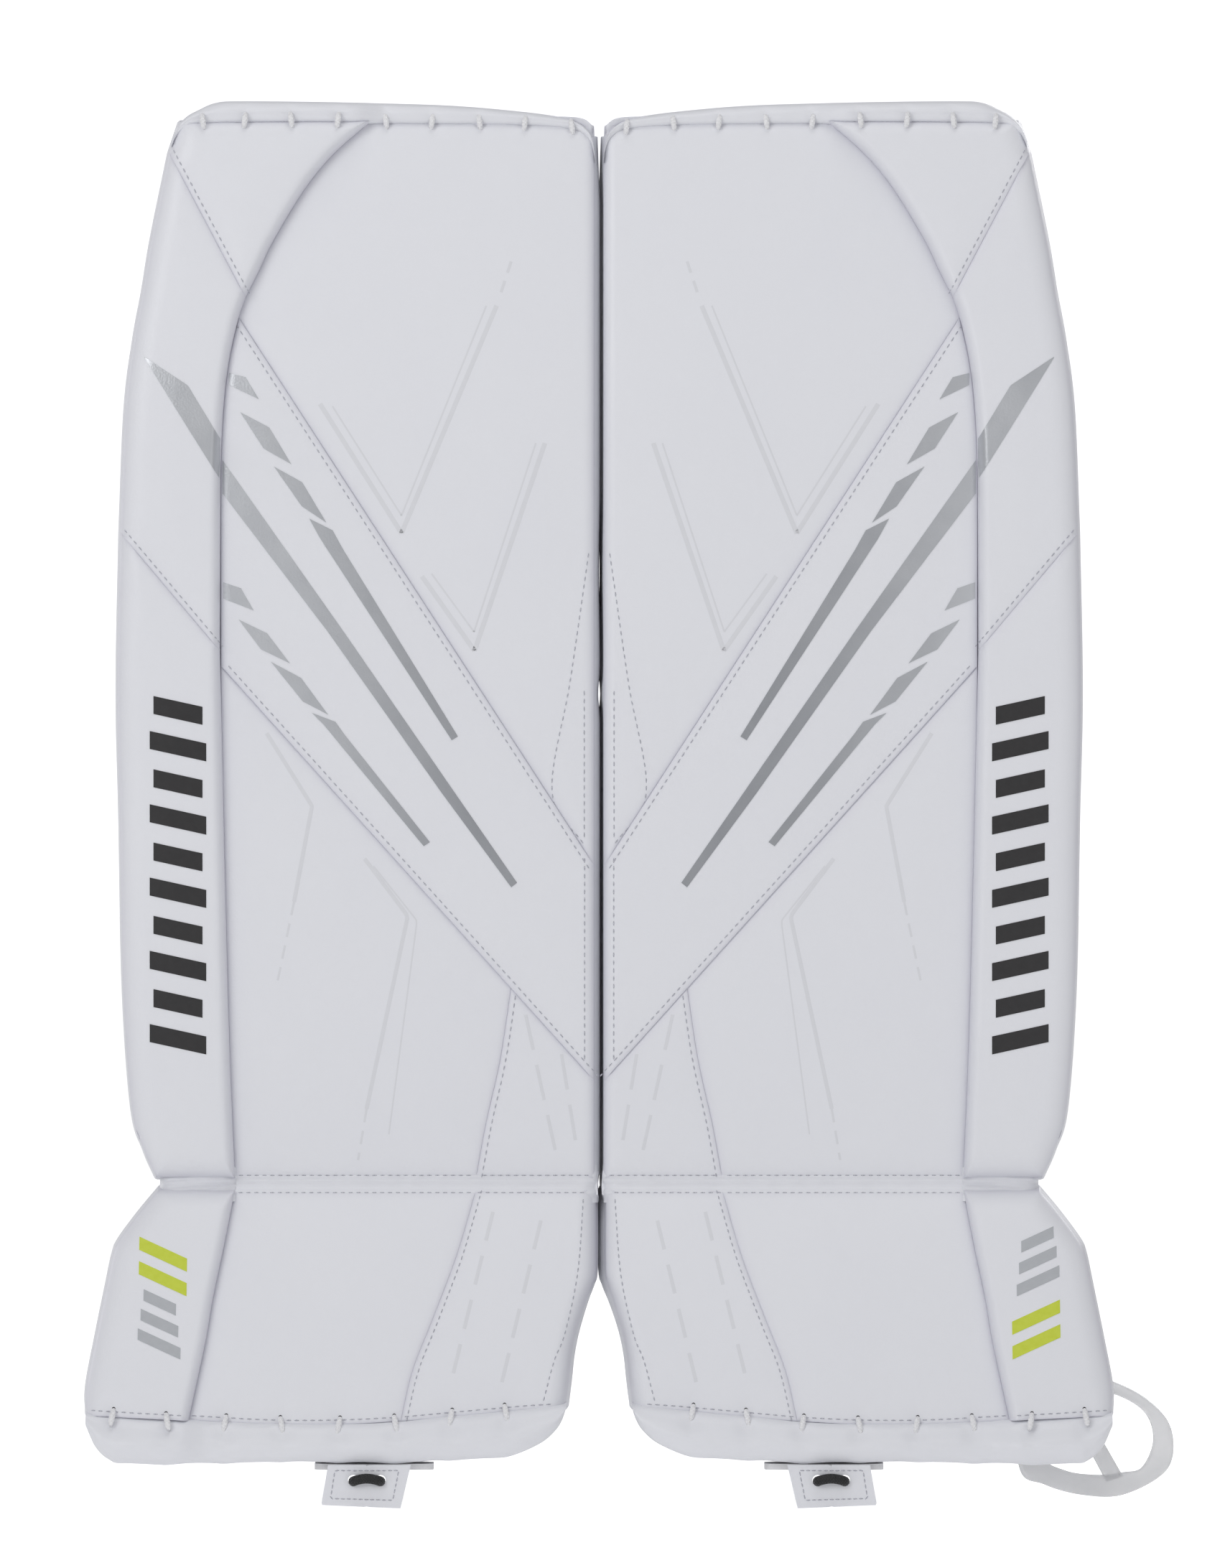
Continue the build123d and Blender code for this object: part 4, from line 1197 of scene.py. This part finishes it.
def wrap_stitches(z0, z1, depth):
    """Stitches on the wrap's outside: along each sewn channel, and round the edge, 7 mm in."""
    p, out, length = wrap_course(depth)

    def row(s, z, height):
        at = np.linspace(0, 1, WRAP_POINTS)
        normal = read_off(s / length, at, out)
        path = np.c_[read_off(s / length, at, p) + normal * height, z]
        return stitch_row(path, (*normal[len(normal) // 2], 0.0))

    channels = round((z1 - z0) / WRAP_CHANNEL)
    s = np.linspace(9, length - 9, 60)
    sewn = [z0 + (z1 - z0) * k / channels for k in range(1, channels)]
    rows = [row(s, np.full(60, z), WRAP_THICK / 2 * 0.62 + 0.2) for z in sewn]
    rows.append(row(np.full(40, length - 7.0), np.linspace(z0 + 7, z1 - 7, 40), WRAP_THICK / 2 + 0.1))
    return join(rows + [row(s, np.full(60, z), WRAP_THICK / 2 + 0.1) for z in (z0 + 7, z1 - 7)])


STRAP_OVER_WRAP, STRAP_ON_PATCH = 7.05, 3.25  # how far behind the wrap's line the strap's middle runs


def strap_shape(z0, z1, depth, thickness=2.4):
    """A flat band with rounded edges, sewn on the wrap at one end and lowered to the hook patch at the other."""
    near, far = depth + STRAP_OVER_WRAP, depth + STRAP_ON_PATCH
    line = (
        (165.5, near), (150, near + 0.1), (128, near), (112, near - 0.8), (78, far + 0.8), (62, far), (36, far),
        (12.5, far),
    )
    p = curve(line, np.linspace(0, 1, 80))
    tall = z1 - z0
    v = np.r_[0, 0.4, 1.2, np.linspace(3, tall - 3, 14), tall - 1.2, tall - 0.4, tall]
    half = thickness / 2 * quarter(np.maximum(np.minimum(v, tall - v) / 1.2, 0.05))[:, None]
    return slab(*(moved_out(p, -left_of(p), sign * half, z0 + v) for sign in (1, -1)))


def strap_stitches(z0, z1, depth):
    """The crossed box that sews the strap on its wrap."""
    low, high = z0 + 5, z1 - 5
    box = ((162, low), (130, low), (130, high), (162, high), (162, low), (130, high))
    line = curve(box, np.linspace(0, 1, 160), kinked=True)
    return stitch_row(np.insert(line, 1, depth + STRAP_OVER_WRAP + 1.25, axis=1), (0, 1, 0))


def patch_shape(x0, x1, z0, z1, depth, thickness):
    """A thin patch on the back, with its edge rounded off."""
    wide, tall = x1 - x0, z1 - z0
    x, z = np.meshgrid(spacing(wide, 3, 3, 4) * wide + x0, spacing(tall, 3, 3, 4) * tall + z0)
    fill = quarter(np.maximum(np.minimum.reduce([x - x0, x1 - x, z - z0, z1 - z]) / 1.2, 0.1))
    y = front_plane(z) + depth
    return slab(np.stack([x, y, z], axis=-1), np.stack([x, y + thickness * fill, z], axis=-1))


CALF_BLOCK = cushion((3.4, 46.8, 216), (64, 147.5, 466), ((0.9, 46.9, 212), (68, 150.7, 470)), 20, 8)
KNEE_BLOCKS = [
    cushion((3.4, 46.8, 480), (35.4, 162.5, 594), ((0.9, 46.9, 476), (36.8, 165.7, 598)), 14, 6),
    cushion((38.4, 46.8, 480), (68.0, 162.5, 594), ((37.0, 46.9, 476), (71.5, 165.7, 598)), 14, 6),
]
KNEE_STACK = join([shape for shape, _ in KNEE_BLOCKS])
KNEE_SEAM_SHADE = np.concatenate([seam for _, seam in KNEE_BLOCKS])
LEG_CUSHIONS = join([liner_shape(low - 12, high + 6) for low, high in (CALF_Z, KNEE_Z)])
HOOK_TAPE = join([
    patch_shape(15, 57, 290, 400, CALF_DEPTH - 0.2, 1.6), patch_shape(15, 57, 504, 572, KNEE_DEPTH - 0.2, 1.6),
    patch_shape(38, 142, 694, 772, PAD_BACK + 1.0, 1.8),
])
WRAPS = (("calf", CALF_Z, CALF_DEPTH, (310, 380)), ("knee", KNEE_Z, KNEE_DEPTH, (512, 564)))

for side_name in SIDES:
    add_piece(side_name, "leg_cushions", LEG_CUSHIONS, LINING, "pad", ["leg_liner"])
    add_piece(side_name, "calf_cushion", CALF_BLOCK[0], WHITE, "pad", ["calf_block"], CALF_BLOCK[1], None)
    add_piece(side_name, "knee_stack", KNEE_STACK, SLIDE, "pad", ["knee_block"], KNEE_SEAM_SHADE, None)
    add_piece(side_name, "hook_tape", HOOK_TAPE, HOOK, "pad", ["hook_patches"])
    for part, heights, depth, strap_heights in WRAPS:
        wrap, strap = f"{part}_wrap", f"{part}_strap"
        outer, lining = wrap_shapes(*heights, depth)
        add_piece(side_name, f"{wrap}_skin", outer, WHITE, wrap, [wrap])
        add_piece(side_name, f"{wrap}_stitching", wrap_stitches(*heights, depth), THREAD, wrap)
        add_piece(side_name, f"{wrap}_lining", lining, LINING, wrap)
        add_piece(side_name, f"{part}_band", strap_shape(*strap_heights, depth), WEBBING, strap, [strap])
        add_piece(side_name, f"{part}_band_stitching", strap_stitches(*strap_heights, depth), THREAD, strap)


# ---------------------------------------------------------------- boot fittings
def wing_shape(x0, x1):
    """One foam bar behind the boot: a rounded block, sheared so that it stands square to the boot's back."""
    verts, faces = rounded_block((x0, 0, 64), (x1, 41, 157), 0, 7, 1.0)
    verts[:, 1] += front_plane(verts[:, 2]) + BOOT_BACK + 0.4
    return facing((verts, faces))


TAB_Y, TAB_HALF = -85.5, 1.4
TIE_X, TIE_Z, TIE_R, TIE_HALF, TIE_HOLE_R = 134.5, 16.5, 2.9, 7.8, 3.2


def plate_with_hole(loop, centre, radius, y0, y1, rings=5):
    """A flat plate between an outer loop and a round hole: sections that go from the circle to the loop on one
    face and back again on the other."""
    angle = np.arctan2(loop[:, 1] - centre[1], loop[:, 0] - centre[0])
    circle = np.stack([np.cos(angle), np.sin(angle)], axis=-1) * radius + centre
    t = np.linspace(0, 1, rings)[:, None, None]
    flat = circle * (1 - t) + loop * t
    return looped(np.vstack([np.insert(flat, 1, y0, axis=2), np.insert(flat[::-1], 1, y1, axis=2)]))


def tab_shape():
    """The toe tab: two plates side by side, each with one of the tie's holes."""
    parts = []
    for sign, top, low in ((-1, (109, 25.5), (115, 0.3)), (1, (157, 25.5), (161, 2.2))):
        corners = (top, (TIE_X, 25.5), (TIE_X, 1.1), low, top)
        loop = curve(corners, np.linspace(0, 1, 48, endpoint=False), kinked=True)
        hole = (TIE_X + sign * TIE_HALF, TIE_Z)
        parts.append(plate_with_hole(loop, hole, TIE_HOLE_R, TAB_Y - TAB_HALF, TAB_Y + TAB_HALF))
    return join(parts)


def tab_stitches():
    frame_line = ((116, 22.2), (153, 22.2), (155.5, 6.0), (119.5, 5.0), (116, 22.2))
    line = curve(frame_line, np.linspace(0, 1, 60), kinked=True)
    return stitch_row(np.insert(line, 1, TAB_Y - TAB_HALF - 0.05, axis=1), (0, -1, 0), 3.4, TAB_STITCH)


def tie_shape():
    """The elastic toe tie: a tube round a flattened loop through both holes, arched in front of the tab."""
    knots = [
        (-7.8, -1.0, 0.0), (-6.8, -3.9, 0.6), (-3.2, -4.5, 1.5), (0, -4.6, 1.8), (3.2, -4.5, 1.5), (6.8, -3.9, 0.6),
        (7.8, -1.0, 0.0), (7.4, 3.4, 0), (4.2, 5.2, 0), (0, 5.4, 0), (-4.2, 5.2, 0), (-7.4, 3.4, 0),
    ]
    path = closed_curve([knots], 72)[0] + (TIE_X, TAB_Y, TIE_Z - 0.6)
    along = np.roll(path, -1, axis=0) - np.roll(path, 1, axis=0)
    return looped(rings_round(path, along, TIE_R, 14, (0, 0, 1)))


STRAP_OUTER = [
    (244.2, 76), (270, 78), (298, 72), (320.5, 60.5), (333.5, 44), (331, 21.5), (306, 7), (282, 6.4), (259, 12.4),
    (244.2, 23),
]
STRAP_INNER = [
    (256, 63), (272, 67), (298, 64.5), (317.5, 54), (322.7, 38), (316, 22.5), (305, 19.5), (289.5, 18), (271, 20.6),
    (258, 30),
]
CROSS_TOP, CROSS_FOOT = ((266, 69), (275, 70)), ((295, 14), (305, 17))
STRAP_MIDDLE, STRAP_HALF = 43.9, 1.5  # depth of the moulded strap, square to the boot, and half its thickness
# The rounded section of the moulding: how far across it each point is, and how far up.
SECTION_ACROSS = np.array([0, 0.06, 0.18, 0.5, 0.82, 0.94, 1.0, 0.94, 0.82, 0.5, 0.18, 0.06])[:, None]
SECTION_UP = np.array([0, 0.75, 1, 1, 1, 0.75, 0, -0.75, -1, -1, -1, -0.75])


def moulded(low, high, half):
    """Sections of the moulding between two lines of (x, z) points behind the boot."""
    flat = low[:, None] * (1 - SECTION_ACROSS) + high[:, None] * SECTION_ACROSS
    return on_front(flat, -(STRAP_MIDDLE + half * SECTION_UP) / cos(TILT))


def strap_loop_shape():
    """The moulded loop: a closed band between two loops, with a rounded section, and a cross strap."""
    outer, inner = (closed_curve([loop], 120)[0] for loop in (STRAP_OUTER, STRAP_INNER))
    low, high = (np.linspace(top, foot, 12) for top, foot in zip(CROSS_TOP, CROSS_FOOT))
    return join([looped(moulded(outer, inner, STRAP_HALF)), swept(moulded(low, high, 0.9 * STRAP_HALF))])


def stowed(shape):
    """The left pad's strap, turned up about its screw in the plane of the boot's back, on right-pad numbers."""
    screw = np.array([220.0, front_plane(60.0) + STRAP_MIDDLE / cos(TILT), 60.0])
    normal = np.array([0, cos(TILT), -sin(TILT)])
    a = radians(-95)
    p = shape[0] - screw
    turned = p * cos(a) + np.cross(normal, p) * sin(a) + np.outer(p @ normal, normal) * (1 - cos(a))
    return screw + turned, shape[1]


STRAP_LOOP = strap_loop_shape()
BOOT_BARS = join([wing_shape(30, 56), wing_shape(162, 188)])
for side_name in SIDES:
    add_piece(side_name, "boot_bars", BOOT_BARS, LINING, "boot", ["boot_wings"])
    add_piece(side_name, "tab", tab_shape(), WHITE, "toe_tab", ["toe_tab"])
    add_piece(side_name, "tab_stitching", tab_stitches(), THREAD, "toe_tab")
    add_piece(side_name, "tie_cord", tie_shape(), CORD, "toe_tab", ["toe_tie"])
    loop = STRAP_LOOP if side_name == "right" else stowed(STRAP_LOOP)
    add_piece(side_name, "strap_loop", loop, CLEAR, "boot_strap", ["boot_strap"])
    for node, material in (("strap_root", CLEAR[0]), ("strap_screw", STEEL), ("toe_bridge", NYLON)):
        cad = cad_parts[f"{side_name}_{node}"]
        cad.data.materials.clear()
        cad.data.materials.append(material)


# ---------------------------------------------------------------- studio
LAMPS = (  # name, place, size and power
    ("key_light", (-1.9, -3.2, 1.9), 1.5, 32), ("fill_light", (2.3, -3.6, 0.9), 2.4, 11),
    ("top_light", (0.0, -0.9, 3.2), 1.8, 15), ("back_light", (1.6, 3.4, 2.0), 1.6, 30),
    ("back_fill", (-2.6, 2.6, 1.2), 2.0, 16),
)
LAMP_AIM = (0, 0, 0.42)


def camera_glow(tree, given, seen):
    """A brightness that is higher to the camera than the light given."""
    return ranged(tree, add_node(tree, "ShaderNodeLightPath").outputs["Is Camera Ray"], To_Min=given, To_Max=seen)


def floor():
    """A pale floor all round, clear from below."""
    made, tree, principled, at = new_material("matt_white_paper", Roughness=0.95, Emission_Color=(1, 1, 1, 1))
    paint(tree, principled, pattern(tree, "Noise", at, 6.0, Detail=2.0), "FAFAFA", "FFFFFF")
    tree.links.new(camera_glow(tree, 0.12, 0.66), principled.inputs["Emission Strength"])
    under = add_node(tree, "ShaderNodeNewGeometry").outputs["Backfacing"]
    clear = add_node(tree, "ShaderNodeBsdfTransparent").outputs[0]
    sided = add_node(tree, "ShaderNodeMixShader", {0: under, 1: principled.outputs[0], 2: clear}).outputs[0]
    tree.links.new(sided, tree.nodes["Material Output"].inputs["Surface"])
    radius = np.array([0.0, 0.5, 1.5, 5.0, 40.0])[:, None]
    angle = np.linspace(0, 2 * pi, 48, endpoint=False)[None]
    points = np.stack([radius * np.cos(angle), radius * np.sin(angle), -0.0005 + 0 * radius * angle], axis=-1)
    laid = mesh_object("floor", points.reshape(-1, 3), grid_faces(5, 48, wrap=True)[:, ::-1])
    laid.data.materials.append(made)


def surround():
    """A white surround that looks brighter than the light it gives, as a lit backdrop far behind does."""
    world = bpy.data.worlds.new("studio_air")
    bpy.context.scene.world = world
    world.use_nodes = True
    tree = world.node_tree
    tree.nodes["Background"].inputs["Color"].default_value = tone("FCFCFF")
    tree.links.new(camera_glow(tree, 0.4, 1.15), tree.nodes["Background"].inputs["Strength"])


def lamps():
    """Soft lamps in front, above and behind, that the camera doesn't see."""
    for name, location, size, power in LAMPS:
        lamp = bpy.data.lights.new(name, "AREA")
        lamp.size = size
        lamp.energy = power
        light = bpy.data.objects.new(name, lamp)
        light.location = location
        light.rotation_euler = (Vector(LAMP_AIM) - Vector(location)).to_track_quat("-Z", "Y").to_euler()
        light.visible_camera = False
        bpy.context.scene.collection.objects.link(light)


def colour():
    """Plain display colours, with no film curve."""
    view = bpy.context.scene.view_settings
    view.view_transform = "Standard"
    view.look = "None"
    view.exposure = 0.0
    view.gamma = 1.0


def camera():
    """A long lens, level, square to the pads' fronts."""
    distance_m, view_height, aside, level = 9.0, 0.9173, 0.0078, 0.420
    lens = bpy.data.cameras.new("camera")
    lens.sensor_width = 36  # the long, upright side of the view
    lens.lens = 36 * distance_m / view_height
    lens.clip_end = 100
    made = bpy.data.objects.new("camera", lens)
    made.location = (PAIR_X + aside, FACE_Y - distance_m, level)
    made.rotation_euler = (pi / 2, 0, 0)
    bpy.context.scene.collection.objects.link(made)
    bpy.context.scene.camera = made


floor()
surround()
lamps()
colour()
camera()
